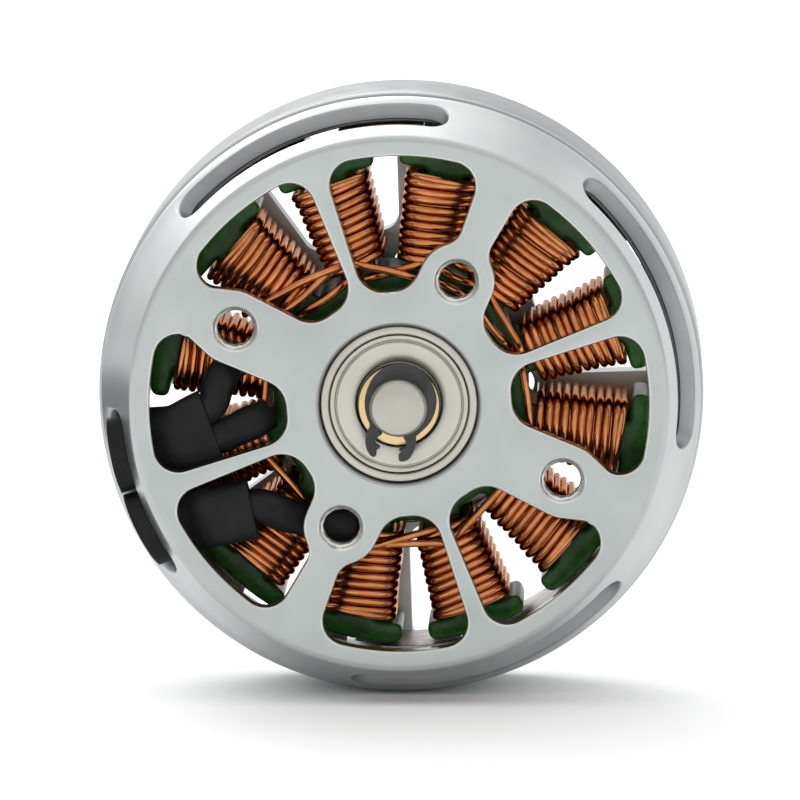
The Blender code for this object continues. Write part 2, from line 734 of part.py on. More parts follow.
def build_leads(rubber, gold):
    for name, stations in LEAD_RUNS.items():
        segments = 20 if name.startswith("lead_sleeve") else 14
        add_object(name, loft_mesh(name, stations, segments), rubber)
    depth = LEAD_RUNS["lead_sleeve_ab"][-1][2]
    for letter, sleeve, end, run in socket_places():
        pocket = bmesh.new()
        rod_along(pocket, end - run * (SOCKET_LENGTH + SEAT_GAP), run, depth,
                  SOCKET_RADIUS + SEAT_GAP, SOCKET_LENGTH + 1.0)
        cutter = add_cutter(f"socket_pocket_{letter}", finish_mesh("socket_pocket", pocket))
        boolean(bpy.data.objects[sleeve], cutter)

        shell = bmesh.new()
        rod_along(shell, end - run * SOCKET_LENGTH, run, depth, SOCKET_RADIUS, SOCKET_LENGTH)
        socket = add_object(f"bullet_socket_{letter}", finish_mesh("bullet_socket", shell), gold)
        bore = bmesh.new()
        rod_along(bore, end - run * (SOCKET_LENGTH - SOCKET_BORE_END), run, depth,
                  SOCKET_BORE_RADIUS, SOCKET_LENGTH + 1.0)
        bore_cutter = add_cutter(f"socket_bore_{letter}", finish_mesh("socket_bore", bore))
        boolean(socket, bore_cutter)


# ---------------------------------------------------------------- rotor

def bell_window_outline(centre):
    half = 180.0 / BELL_ARM_COUNT - BELL_ARM_HALF_ANGLE
    tangent_step = 7.0
    corner_reach = BELL_WINDOW_OUTER / math.cos(math.radians(tangent_step))
    middle_reach = BELL_WINDOW_OUTER / math.cos(math.radians(half - tangent_step))
    corners = [
        (polar(corner_reach, centre - half), 1.5),
        (polar(middle_reach, centre), BELL_WINDOW_OUTER),
        (polar(corner_reach, centre + half), 1.5),
        (polar(BELL_WINDOW_INNER, centre + half), 1.2),
        (polar(BELL_WINDOW_INNER, centre - half), 1.2),
    ]
    return rounded_outline(corners, 18.0)


def build_bell(material, rotor):
    skirt_inner = FLUX_RING_OUTER + SEAT_GAP
    bore = SHAFT_RADIUS + SEAT_GAP
    profile = [
        (BELL_RADIUS, BELL_FRONT), (BELL_RADIUS, BELL_SKIRT_BACK),
        (BELL_BACK_RADIUS, BELL_BACK), (HUB_RADIUS, BELL_BACK), (HUB_RADIUS, HUB_FACE),
        (PILOT_RADIUS, HUB_FACE), (PILOT_RADIUS, SHAFT_REAR), (bore, SHAFT_REAR),
        (bore, HUB_FRONT - REST_GAP), (INNER_RING_RADIUS - 0.1, HUB_FRONT - REST_GAP),
        (INNER_RING_RADIUS - 0.1, HUB_FRONT), (HUB_RADIUS, HUB_FRONT),
        (HUB_RADIUS, BELL_WEB_FRONT), (BELL_BACK_RADIUS + 0.2, BELL_WEB_FRONT),
        (skirt_inner, FLUX_RING_BACK + REST_GAP), (skirt_inner, BELL_FRONT)]
    bell = add_object("bell", turned_mesh("bell", profile, BIG_SEGMENTS), material, rotor)
    outlines = []
    for arm in range(BELL_ARM_COUNT):
        outlines.append(bell_window_outline(BELL_ARM_PHASE + 360.0 * (arm + 0.5) / BELL_ARM_COUNT))
    windows = prism_mesh("bell_windows", outlines, FLUX_RING_BACK, HUB_FACE + 1.0)
    boolean(bell, add_cutter("bell_windows", windows))
    prop_places = [polar(PROP_PATTERN_RADIUS, BELL_ARM_PHASE + 90.0 * index)
                   for index in range(4)]
    prop_steps = [(SCREW_CORE_RADIUS, HUB_FRONT - 0.5),
                  (SCREW_CORE_RADIUS, HUB_FACE - SCREW_CHAMFER_DEPTH),
                  (SCREW_CHAMFER_RADIUS, HUB_FACE), (SCREW_CHAMFER_RADIUS + 0.5, HUB_FACE + 0.5)]
    boolean(bell, add_cutter("prop_holes", drill_mesh("prop_holes", prop_places, prop_steps)))

    dark_steel = bpy.data.materials["black_steel"]
    for number, angle in ((1, BELL_ARM_PHASE), (2, BELL_ARM_PHASE + 90.0)):
        run = polar(1.0, angle)
        drill = bmesh.new()
        rod_along(drill, run * (SHAFT_RADIUS + SEAT_GAP / 2), run, GRUB_DEPTH,
                  GRUB_RADIUS + SEAT_GAP, PILOT_RADIUS)
        boolean(bell, add_cutter(f"grub_drill_{number}", finish_mesh("grub_drill", drill)))
        screw = bmesh.new()
        rod_along(screw, run * (SHAFT_RADIUS + REST_GAP), run, GRUB_DEPTH, GRUB_RADIUS,
                  PILOT_RADIUS - SHAFT_RADIUS - 2 * REST_GAP)
        grub = add_object(f"grub_screw_{number}", finish_mesh("grub_screw", screw),
                          dark_steel, rotor)
        socket = bmesh.new()
        rod_along(socket, run * (PILOT_RADIUS - 1.2), run, GRUB_DEPTH, 0.5, 3.0, 6)
        boolean(grub, add_cutter(f"grub_socket_{number}", finish_mesh("grub_socket", socket)))


def magnet_mesh():
    """One magnet, a short arc centred on +X."""
    work = bmesh.new()
    steps = 4
    outline = []
    for step in range(steps + 1):
        share = 2 * step / steps - 1
        outline.append(polar(MAGNET_OUTER, MAGNET_HALF_ANGLE * share))
    for step in range(steps + 1):
        share = 1 - 2 * step / steps
        outline.append(polar(MAGNET_INNER, MAGNET_HALF_ANGLE * share))
    extrude_outline(work, outline, MAGNET_FRONT, MAGNET_BACK)
    return finish_mesh("magnet", work)


def build_magnets(nickel, steel, rotor):
    ring = ring_profile(MAGNET_OUTER + SEAT_GAP, FLUX_RING_OUTER, FLUX_RING_FRONT,
                        FLUX_RING_BACK)
    add_object("flux_ring", turned_mesh("flux_ring", ring, BIG_SEGMENTS), steel, rotor)
    mesh = magnet_mesh()
    for index in range(MAGNET_COUNT):
        magnet = add_object(f"magnet_{index + 1:02d}", mesh, nickel, rotor)
        mesh = magnet.data.copy()
        mesh.materials.clear()
        angle = MAGNET_PHASE + 360.0 * index / MAGNET_COUNT
        magnet.rotation_euler = (0, -math.radians(angle), 0)
    bpy.data.meshes.remove(mesh)


# ---------------------------------------------------------------- the motor

def add_axis(name):
    """An empty on the motor's axis, which carries the pieces that turn together."""
    axis = bpy.data.objects.new(name, None)
    bpy.context.scene.collection.objects.link(axis)
    return axis


def build_motor():
    for leftover in list(bpy.data.objects):
        bpy.data.objects.remove(leftover, do_unlink=True)

    aluminium = make_material("blasted_aluminium", (0.62, 0.64, 0.64), 0.42, 1.0)
    bearing_steel = make_material("bearing_steel", (0.62, 0.6, 0.55), 0.25, 1.0)
    shield_steel = make_material("shield_steel", (0.66, 0.64, 0.58), 0.35, 1.0)
    shaft_steel = make_material("ground_steel", (0.7, 0.7, 0.69), 0.3, 1.0)
    black_steel = make_material("black_steel", (0.06, 0.06, 0.06), 0.4, 0.8)
    lamination = make_material("lamination_steel", (0.3, 0.3, 0.31), 0.5, 1.0)
    nickel = make_material("nickel_plate", (0.66, 0.64, 0.6), 0.25, 1.0)
    brass = make_material("brass", (0.75, 0.58, 0.3), 0.3, 1.0)
    copper = make_material("enamelled_copper", (0.65, 0.28, 0.13), 0.3, 0.9)
    epoxy = make_material("green_epoxy", (0.02, 0.1, 0.03), 0.3, 0.0)
    rubber = make_material("heat_shrink", (0.02, 0.02, 0.02), 0.6, 0.0)
    gold = make_material("gold_plate", (0.85, 0.62, 0.28), 0.25, 1.0)

    rotor = add_axis("rotor_axis")
    front_cage = add_axis("front_cage_axis")
    rear_cage = add_axis("rear_cage_axis")

    build_base(aluminium)
    build_bearing("front", BEARING_FRONT_START, bearing_steel, shield_steel, brass,
                  rotor, front_cage)
    build_bearing("rear", BEARING_REAR_START, bearing_steel, shield_steel, brass,
                  rotor, rear_cage)
    build_shaft(shaft_steel, rotor)
    build_shaft_fittings(black_steel, brass, rotor)
    build_stator(lamination, epoxy)
    build_coils(copper)
    build_crossovers(copper)
    build_leads(rubber, gold)
    build_bell(aluminium, rotor)
    build_magnets(nickel, lamination, rotor)


build_motor()
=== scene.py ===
"""Looks of the brushless outrunner motor, built round its CAD frame.

Sizes are in millimetres and turned into metres where a mesh is made. The motor's axis is the Y
axis, its mounting face lies in the plane y = 0 and looks along -Y, and +Z is up. Angles are in
degrees, counted anticlockwise from +X as the mounting face is looked at.
"""
import math
import random

import bmesh
import bpy
import numpy as np
from mathutils import Matrix, Vector


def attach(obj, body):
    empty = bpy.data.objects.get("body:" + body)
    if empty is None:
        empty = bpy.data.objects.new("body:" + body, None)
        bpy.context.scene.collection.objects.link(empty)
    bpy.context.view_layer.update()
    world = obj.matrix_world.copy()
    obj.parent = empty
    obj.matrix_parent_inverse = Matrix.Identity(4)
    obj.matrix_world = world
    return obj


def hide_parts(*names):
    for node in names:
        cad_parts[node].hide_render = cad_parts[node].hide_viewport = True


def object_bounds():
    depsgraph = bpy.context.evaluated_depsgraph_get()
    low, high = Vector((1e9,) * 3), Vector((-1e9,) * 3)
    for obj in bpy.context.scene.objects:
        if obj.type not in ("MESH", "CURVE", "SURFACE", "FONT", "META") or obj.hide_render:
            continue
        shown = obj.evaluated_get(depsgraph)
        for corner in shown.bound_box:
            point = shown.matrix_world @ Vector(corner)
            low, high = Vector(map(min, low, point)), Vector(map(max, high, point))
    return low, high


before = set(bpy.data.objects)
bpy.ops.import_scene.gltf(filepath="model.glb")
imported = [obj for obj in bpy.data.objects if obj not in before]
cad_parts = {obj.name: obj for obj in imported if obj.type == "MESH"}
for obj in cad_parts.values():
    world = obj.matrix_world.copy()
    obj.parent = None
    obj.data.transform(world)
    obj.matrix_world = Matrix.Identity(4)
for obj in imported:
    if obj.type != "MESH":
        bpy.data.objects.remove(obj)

MM = 0.001
cad_low, cad_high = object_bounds()

# ---- sizes, from the CAD part
SPOKE_ANGLE = 20.1
PLATE = 1.6
BOSS_END = 2.0
WINDOW_OUTER = 17.3
WINDOW_INNER = 8.0
NEAR_HOLES = 9.5
FAR_HOLES = 12.5
BEARING_WIDTH = 4.0
TOOTH_COUNT = 12
TOOTH_PHASE = 18.5
ARM_PHASE = -3.5
CORE_FRONT = 5.26
CORE_BACK = 11.74
TOOTH_TIP = 17.5
BALL_CIRCLE = 3.75
GRUB_DEPTH = 19.0
FLOOR = cad_low.z / MM


def polar(radius, angle):
    turn = math.radians(angle)
    return Vector((radius * math.cos(turn), radius * math.sin(turn)))


def at(radius, depth, angle):
    """A point in space by its radius and angle round the axis and its depth along it."""
    turn = math.radians(angle)
    return (radius * math.cos(turn), depth, radius * math.sin(turn))


# ---- materials

class Nodes:
    """Adds nodes to a tree, a step at a time."""

    def __init__(self, tree):
        self.tree = tree

    def add(self, kind, **settings):
        node = self.tree.nodes.new(kind)
        for key, value in settings.items():
            setattr(node, key, value)
        return node

    def feed(self, source, socket):
        if isinstance(source, (int, float)):
            socket.default_value = source
        elif isinstance(source, tuple):
            socket.default_value = source + (1.0,) * (len(socket.default_value) - len(source))
        else:
            self.tree.links.new(source, socket)

    def math(self, operation, *sources):
        node = self.add("ShaderNodeMath", operation=operation)
        for source, socket in zip(sources, node.inputs):
            self.feed(source, socket)
        return node.outputs[0]

    def ramp(self, factor, low, high, from_value=0.0, to_value=1.0, shape="LINEAR"):
        node = self.add("ShaderNodeMapRange", interpolation_type=shape)
        self.feed(factor, node.inputs["Value"])
        node.inputs["From Min"].default_value = low
        node.inputs["From Max"].default_value = high
        node.inputs["To Min"].default_value = from_value
        node.inputs["To Max"].default_value = to_value
        return node.outputs["Result"]


class Paint(Nodes):
    """A Principled material. Its position is in metres; grain sizes and depths are in millimetres."""

    def __init__(self, name, **sockets):
        self.material = bpy.data.materials.new(name)
        self.material.use_nodes = True
        super().__init__(self.material.node_tree)
        self.shader = self.tree.nodes["Principled BSDF"]
        for key, value in sockets.items():
            title = key.replace("_", " ").title().replace("Ior", "IOR")
            self.feed(value, self.shader.inputs[title])
        self.material.diffuse_color = (*sockets["base_color"], 1.0)
        self.where = self.add("ShaderNodeTexCoord").outputs["Object"]
        self.bump_chain = None

    def split(self):
        node = self.add("ShaderNodeSeparateXYZ")
        self.feed(self.where, node.inputs[0])
        return node.outputs

    def along_and_out(self):
        """The distance from the motor's axis and the depth along it, as one position."""
        x, y, z = self.split()
        squares = self.math("ADD", self.math("MULTIPLY", x, x), self.math("MULTIPLY", z, z))
        node = self.add("ShaderNodeCombineXYZ")
        self.feed(self.math("SQRT", squares), node.inputs[0])
        self.feed(y, node.inputs[1])
        return node.outputs[0]

    def noise(self, size, detail=2.0, roughness=0.5, position=None):
        """Noise from 0 to 1 whose grains are about size across."""
        node = self.add("ShaderNodeTexNoise")
        self.feed(position or self.where, node.inputs["Vector"])
        node.inputs["Scale"].default_value = 1.0 / (size * MM)
        node.inputs["Detail"].default_value = detail
        node.inputs["Roughness"].default_value = roughness
        return node.outputs["Fac"]

    def mix(self, factor, a, b):
        node = self.add("ShaderNodeMix", data_type="RGBA")
        self.feed(factor, node.inputs["Factor"])
        self.feed(a, node.inputs["A"])
        self.feed(b, node.inputs["B"])
        return node.outputs["Result"]

    def colour(self, source):
        self.feed(source, self.shader.inputs["Base Color"])

    def rough(self, source):
        self.feed(source, self.shader.inputs["Roughness"])

    def bump(self, height, depth, strength=1.0):
        node = self.add("ShaderNodeBump")
        node.inputs["Strength"].default_value = strength
        node.inputs["Distance"].default_value = depth * MM
        self.feed(height, node.inputs["Height"])
        if self.bump_chain is not None:
            self.feed(self.bump_chain, node.inputs["Normal"])
        self.bump_chain = node.outputs["Normal"]
        self.feed(self.bump_chain, self.shader.inputs["Normal"])


def mixed(paint, size, dark, light, low=0.35, high=0.65, detail=3.0):
    return paint.mix(paint.ramp(paint.noise(size, detail), low, high), dark, light)


def blasted_metal(name, dark, light, roughness):
    """Bead-blasted and anodised aluminium: a fine even grain with faint clouds and a few marks."""
    paint = Paint(name, base_color=light, metallic=1.0, roughness=roughness,
                  specular_tint=(0.70, 0.71, 0.71))
    clouds = mixed(paint, 9.0, dark, light, 0.3, 0.7)
    marks = paint.ramp(paint.noise(1.3, 4.0, 0.7), 0.71, 0.78)
    paint.colour(paint.mix(paint.math("MULTIPLY", marks, 0.35), clouds, (0.16, 0.15, 0.14)))
    paint.rough(paint.ramp(paint.noise(2.0, 3.0), 0.3, 0.7, roughness - 0.04, roughness + 0.05))
    paint.bump(paint.noise(0.11, 2.0, 0.6), 0.006, 0.5)
    return paint.material


def turned_metal(name, dark, light, roughness, depth=0.002):
    """Metal off a lathe: fine rings round the axis, with slow changes of shade."""
    paint = Paint(name, base_color=light, metallic=1.0, roughness=roughness)
    fine = paint.noise(0.05, 3.0, 0.6, paint.along_and_out())
    paint.colour(paint.mix(paint.ramp(paint.noise(6.0, 3.0), 0.3, 0.7), dark, light))
    paint.rough(paint.ramp(fine, 0.3, 0.7, roughness - 0.04, roughness + 0.06))
    paint.bump(fine, depth, 0.6)
    paint.bump(paint.noise(0.2, 2.0), depth * 0.6, 0.35)
    return paint.material


FACE = blasted_metal("blasted_face", (0.43, 0.46, 0.45), (0.47, 0.505, 0.495), 0.42)
RIM = turned_metal("satin_rim", (0.415, 0.438, 0.438), (0.46, 0.48, 0.475), 0.30)
EDGE = turned_metal("milled_edge", (0.50, 0.52, 0.50), (0.57, 0.58, 0.55), 0.22, 0.001)
SLOT = turned_metal("slot_wall", (0.25, 0.26, 0.265), (0.35, 0.36, 0.365), 0.46, 0.001)
THREAD = turned_metal("cut_thread", (0.55, 0.56, 0.55), (0.66, 0.66, 0.63), 0.2, 0.001)
BELL = blasted_metal("blasted_bell", (0.44, 0.46, 0.465), (0.49, 0.505, 0.505), 0.34)
RING_STEEL = turned_metal("bearing_ring", (0.43, 0.415, 0.365), (0.51, 0.49, 0.44), 0.26, 0.001)
SEAT = turned_metal("bored_seat", (0.30, 0.30, 0.315), (0.38, 0.38, 0.39), 0.3, 0.001)
SHIELD = turned_metal("bearing_shield", (0.50, 0.495, 0.435), (0.57, 0.56, 0.50), 0.38, 0.002)
SHAFT = turned_metal("ground_shaft", (0.39, 0.39, 0.345), (0.45, 0.445, 0.395), 0.33, 0.003)
BRASS = turned_metal("turned_brass", (0.60, 0.46, 0.22), (0.68, 0.54, 0.28), 0.28, 0.001)
GOLD = turned_metal("gold_plate", (0.80, 0.56, 0.22), (0.88, 0.66, 0.30), 0.2, 0.001)
CAGE = turned_metal("cage_brass", (0.60, 0.44, 0.20), (0.72, 0.55, 0.28), 0.3, 0.001)
FLUX = turned_metal("flux_ring", (0.20, 0.20, 0.21), (0.30, 0.30, 0.31), 0.38, 0.003)


def black_oxide():
    paint = Paint("black_oxide", base_color=(0.05, 0.05, 0.052), metallic=0.7, roughness=0.5)
    paint.colour(mixed(paint, 1.5, (0.045, 0.045, 0.046), (0.062, 0.062, 0.064)))
    paint.rough(paint.ramp(paint.noise(0.3), 0.3, 0.7, 0.42, 0.56))
    paint.bump(paint.noise(0.08, 3.0), 0.006, 0.6)
    return paint.material


def magnet_nickel():
    paint = Paint("magnet_nickel", base_color=(0.42, 0.40, 0.37), metallic=1.0, roughness=0.33)
    paint.colour(mixed(paint, 1.2, (0.33, 0.31, 0.28), (0.47, 0.45, 0.42)))
    paint.rough(paint.ramp(paint.noise(0.5, 4.0), 0.3, 0.7, 0.26, 0.45))
    paint.bump(paint.noise(0.15, 3.0), 0.006, 0.5)
    return paint.material


def green_coat():
    """Powder-coated epoxy: glossy and a little wavy."""
    paint = Paint("green_coat", base_color=(0.022, 0.085, 0.014), roughness=0.3,
                  specular_ior_level=0.20, coat_weight=0.06, coat_roughness=0.12)
    paint.colour(mixed(paint, 0.9, (0.010, 0.050, 0.007), (0.024, 0.092, 0.014)))
    paint.bump(paint.noise(0.9, 2.0), 0.03, 0.6)
    paint.bump(paint.noise(0.16, 2.0), 0.006, 0.5)
    return paint.material


def lamination():
    """The edges of stacked sheets, 0.2 mm each, along the depth of the stack."""
    paint = Paint("laminations", base_color=(0.3, 0.3, 0.3), metallic=0.9, roughness=0.45)
    _, y, _ = paint.split()
    sheet = paint.math("FRACT", paint.math("MULTIPLY", y, 1.0 / (0.2 * MM)))
    seam = paint.ramp(paint.math("ABSOLUTE", paint.math("SUBTRACT", sheet, 0.5)), 0.34, 0.5)
    steel = mixed(paint, 1.5, (0.20, 0.19, 0.18), (0.34, 0.33, 0.32))
    paint.colour(paint.mix(seam, steel, (0.05, 0.045, 0.04)))
    paint.bump(paint.math("SUBTRACT", 1.0, seam), 0.02, 0.8)
    return paint.material


def enamelled_copper():
    """Copper under clear enamel: warm, stained in places, with painted shade between the teeth."""
    paint = Paint("enamelled_copper", base_color=(0.55, 0.21, 0.08), metallic=1.0,
                  roughness=0.2, specular_tint=(1.0, 0.60, 0.38), coat_weight=0.07,
                  coat_roughness=0.08)
    base = mixed(paint, 1.6, (0.40, 0.135, 0.045), (0.64, 0.265, 0.11), 0.3, 0.68)
    stain = paint.ramp(paint.noise(0.5, 4.0, 0.65), 0.6, 0.78)
    stained = paint.mix(paint.math("MULTIPLY", stain, 0.45), base, (0.16, 0.05, 0.02))
    # Painted shade: the coil sides down between the teeth are darkened by their depth along the axis.
    _, depth, _ = paint.split()
    slot_shade = paint.math("MULTIPLY", paint.ramp(depth, 5.6 * MM, 7.4 * MM),
                           paint.ramp(depth, 13.6 * MM, 12.0 * MM))
    paint.colour(paint.mix(paint.math("MULTIPLY", slot_shade, 0.72), stained,
                           (0.06, 0.018, 0.006)))
    paint.rough(paint.ramp(paint.noise(0.4, 3.0), 0.3, 0.7, 0.12, 0.24))
    paint.bump(paint.noise(0.35, 3.0), 0.02, 0.5)
    return paint.material


def heat_shrink():
    """Heat-shrink tube: soft black with faint dust, fine pores and slow waves."""
    paint = Paint("heat_shrink", base_color=(0.007, 0.007, 0.0075), roughness=0.46,
                  specular_ior_level=0.20)
    dust = paint.ramp(paint.noise(0.35, 6.0, 0.7), 0.62, 0.8)
    base = mixed(paint, 3.0, (0.005, 0.005, 0.0055), (0.010, 0.010, 0.0105))
    paint.colour(paint.mix(paint.math("MULTIPLY", dust, 0.25), base, (0.05, 0.05, 0.05)))
    paint.rough(paint.ramp(paint.noise(0.8, 3.0), 0.3, 0.7, 0.42, 0.58))
    paint.bump(paint.noise(0.7, 2.0), 0.05, 0.5)
    paint.bump(paint.noise(0.1, 3.0), 0.006, 0.5)
    return paint.material


DARK = black_oxide()
NICKEL = magnet_nickel()
GREEN = green_coat()
SHEETS = lamination()
COPPER = enamelled_copper()
RUBBER = heat_shrink()


# ---- mesh tools

class Build:
    """Vertices and faces gathered in millimetres, each face with a material number."""

    def __init__(self):
        self.points = []
        self.faces = []
        self.paints = []
        self.paint = 0

    def add(self, points):
        start = len(self.points)
        self.points.extend((p[0], p[1], p[2]) for p in points)
        return list(range(start, start + len(points)))

    def face(self, *corners):
        self.faces.append(corners)
        self.paints.append(self.paint)

    def strip(self, first, second):
        for i in range(len(first)):
            j = (i + 1) % len(first)
            self.face(first[i], first[j], second[j], second[i])

    def loft(self, rings, closed=False):
        """Join each ring to the next one and, if closed, the last ring to the first."""
        for first, second in zip(rings, rings[1:]):
            self.strip(first, second)
        if closed:
            self.strip(rings[-1], rings[0])
        return rings

    def lathe(self, profile, segments=144, closed=True, centre=(0.0, 0.0)):
        """Spin (radius, depth) points round the motor's axis, or round a line beside it."""
        rings = []
        for radius, depth in profile:
            spots = [at(radius, depth, 360.0 * k / segments) for k in range(segments)]
            rings.append(self.add([(x + centre[0], y, z + centre[1]) for x, y, z in spots]))
        return self.loft(rings, closed)

    def spin(self, profile, run, depth, segments, start=Vector((0.0, 0.0)), sides=0):
        """Spin (radius, distance) points round a line across the motor, along run.

        With sides, each ring is a polygon with that many sides.
        """
        across = Vector((-run.y, run.x))
        half_side = math.pi / sides if sides else 0.0
        rings = []
        for radius, distance in profile:
            ring = []
            for k in range(segments):
                turn = math.tau * k / segments
                reach = radius
                if sides:
                    reach *= math.cos(half_side) / math.cos(turn % (2 * half_side) - half_side)
                flat = start + run * distance + across * (reach * math.cos(turn))
                ring.append((flat.x, depth + reach * math.sin(turn), flat.y))
            rings.append(self.add(ring))
        return self.loft(rings)

    def tube(self, path, radius, sides=10, closed=False):
        """A round wire along a list of points."""
        points = np.array(path, float)
        if closed:
            runs = np.roll(points, -1, 0) - np.roll(points, 1, 0)
        else:
            runs = np.gradient(points, axis=0)
        runs /= np.linalg.norm(runs, axis=1)[:, None] + 1e-12
        side = np.cross(runs[0], (0.3, 1.0, 0.2))
        side /= np.linalg.norm(side)
        turns = np.arange(sides)[:, None] * math.tau / sides
        rings = []
        for point, run in zip(points, runs):
            side = side - run * side.dot(run)
            side /= np.linalg.norm(side)
            other = np.cross(run, side)
            rings.append(self.add(point + radius * (np.cos(turns) * side + np.sin(turns) * other)))
        self.loft(rings, closed)
        if not closed:
            self.face(*reversed(rings[0]))
            self.face(*rings[-1])

    def prism(self, outline, front, back, chamfer=0.0):
        """A solid from a flat outline of (x, z) points, with rounded rims."""
        rings = [self.add([(p.x, depth, p.y) for p in grown_outline(outline, -inset)])
                 for inset, depth in rim_levels(front, back, chamfer, chamfer)]
        self.loft(rings)
        self.face(*reversed(rings[0]))
        self.face(*rings[-1])

    def piece(self, name, materials, body, slot, nodes, sharp=40.0):
        """Make the object, attach it to the body that it rides on and hide the CAD nodes that it
        stands for.
        """
        place(name, mesh_of(self, name, materials), body, nodes, sharp)


def mesh_of(build, name, materials=()):
    mesh = bpy.data.meshes.new(name)
    mesh.from_pydata([tuple(c * MM for c in p) for p in build.points], [], build.faces)
    for material in materials:
        mesh.materials.append(material)
    mesh.polygons.foreach_set("material_index", build.paints)
    work = bmesh.new()
    work.from_mesh(mesh)
    bmesh.ops.remove_doubles(work, verts=work.verts, dist=2e-7)
    bmesh.ops.recalc_face_normals(work, faces=work.faces)
    work.to_mesh(mesh)
    work.free()
    return mesh


def added(name, data):
    """A new object in the scene."""
    thing = bpy.data.objects.new(name, data)
    bpy.context.scene.collection.objects.link(thing)
    return thing


def place(name, mesh, body, nodes, sharp):
    mesh.shade_smooth()
    mesh.set_sharp_from_angle(angle=math.radians(sharp))
    piece = added(name, mesh)
    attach(piece, body)
    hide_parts(*nodes)


def area_of(outline):
    return sum(a.x * b.y - b.x * a.y for a, b in zip(outline, outline[1:] + outline[:1])) / 2


def grown_outline(outline, distance):
    """The outline moved outwards by a distance, or inwards if it is negative."""
    if distance == 0:
        return list(outline)
    sign = 1.0 if area_of(outline) > 0 else -1.0
    grown = []
    count = len(outline)
    for k in range(count):
        before = (outline[k] - outline[k - 1]).normalized()
        after = (outline[(k + 1) % count] - outline[k]).normalized()
        normal = Vector((before.y + after.y, -(before.x + after.x)))
        normal.normalize()
        reach = distance / max(0.5, normal.dot(Vector((before.y, -before.x))))
        grown.append(outline[k] + normal * reach * sign)
    return grown


def rim_levels(front, back, front_round, back_round, steps=3):
    """(inset, depth) pairs of a rounded rim, from the front face to the back face."""
    arc = [(1 - math.sin(math.pi / 2 * k / steps), 1 - math.cos(math.pi / 2 * k / steps))
           for k in range(steps + 1)]
    start = [(front_round * inset, front + front_round * deep) for inset, deep in arc]
    end = [(back_round * inset, back - back_round * deep) for inset, deep in reversed(arc)]
    return (start if front_round else [(0.0, front)]) + (end if back_round else [(0.0, back)])


def circle(radius, centre=Vector((0.0, 0.0)), segments=144):
    return [centre + polar(radius, 360.0 * k / segments) for k in range(segments)]


def rounded(corners, arc_step=6.0):
    """A closed outline through (point, radius) corners, each rounded by an arc."""
    outline = []
    count = len(corners)
    for index, (corner, radius) in enumerate(corners):
        before = (corners[index - 1][0] - corner).normalized()
        after = (corners[(index + 1) % count][0] - corner).normalized()
        opening = before.angle(after)
        turn = math.pi - opening
        if radius <= 0 or turn < 1e-4:
            outline.append(corner.copy())
            continue
        reach = radius * math.tan(turn / 2)
        centre = corner + (before + after).normalized() * (radius / math.sin(opening / 2))
        spoke = corner + before * reach - centre
        side = 1.0 if before.x * after.y - before.y * after.x < 0 else -1.0
        steps = max(2, round(math.degrees(turn) / (1.5 if radius > 10 else arc_step)))
        for step in range(steps + 1):
            angle = side * turn * step / steps
            outline.append(centre + Matrix.Rotation(angle, 2) @ spoke)
    return outline


def filled(build, loops, depth):
    """Fill the flat region between an outer loop and its holes; loops hold vertex numbers."""
    work = bmesh.new()
    made = {}
    edges = []
    for loop in loops:
        ring = []
        for number in loop:
            vertex = work.verts.new((build.points[number][0], build.points[number][2], 0))
            made[vertex] = number
            ring.append(vertex)
        for a, b in zip(ring, ring[1:] + ring[:1]):
            edges.append(work.edges.new((a, b)))
    bmesh.ops.triangle_fill(work, use_beauty=True, use_dissolve=False, edges=edges,
                            normal=(0, 0, 1))
    for face in work.faces:
        build.face(*(made[v] for v in face.verts))
    work.free()


def add_plate(build, shapes, front, back):
    """A plate with holes. Each shape is (outline, front round, back round, is a hole, paint)."""
    paint = build.paint
    front_loops, back_loops = [], []
    for outline, front_round, back_round, hole, edge in shapes:
        rings = []
        for inset, depth in rim_levels(front, back, front_round, back_round):
            loop = grown_outline(outline, inset if hole else -inset)
            rings.append(build.add([(p.x, depth, p.y) for p in loop]))
        build.paint = edge
        build.loft(rings)
        front_loops.append(rings[0])
        back_loops.append(rings[-1])
    build.paint = paint
    filled(build, front_loops, front)
    filled(build, back_loops, back)


# ---- base

def window_outline(side, hole_angle, hole_radius):
    """A window between two spokes, with a bite round a screw hole on one side of it."""
    narrow = 45.0 - 2.45
    near = hole_radius == NEAR_HOLES
    wide, beyond, inner_angle = (5.4, 1.1, 19.5) if near else (7.0, 0.6, 17.3)
    bite = Vector((2.6, hole_radius + beyond))
    neck = Vector((1.12, 12.1)) if near else polar(15.4, 90.0 - wide)
    inner = polar(WINDOW_INNER, 90.0 - inner_angle)
    tangent = 8.0
    reach = WINDOW_OUTER / math.cos(math.radians(tangent))
    middle = (wide + narrow) / 2
    middle_reach = WINDOW_OUTER / math.cos(math.radians((narrow - wide) / 2 - tangent))
    corners = [(polar(reach, 90.0 - narrow), 1.7), (polar(middle_reach, 90.0 - middle), WINDOW_OUTER),
               (polar(reach, 90.0 - wide), 1.7), (neck, 1.5), (bite, 2.6), (inner, 2.0),
               (polar(WINDOW_INNER, 90.0 - narrow), 2.0)]
    outline = []
    for point in rounded(corners):
        from_hole = 90.0 - math.degrees(math.atan2(point.y, point.x))
        outline.append(polar(point.length, hole_angle + side * from_hole))
    return outline


def screw_places():
    return [(SPOKE_ANGLE + 45.0 + 90.0 * k, NEAR_HOLES if k % 2 == 0 else FAR_HOLES)
            for k in range(4)]


def between(profile, depth):
    """The radius of a (radius, depth) profile at a depth."""
    for (r0, y0), (r1, y1) in zip(profile, profile[1:]):
        if y0 <= depth <= y1:
            share = (depth - y0) / (y1 - y0) if y1 > y0 else 0.0
            return r0 + (r1 - r0) * share
    return profile[-1][0] if depth > profile[-1][1] else profile[0][0]


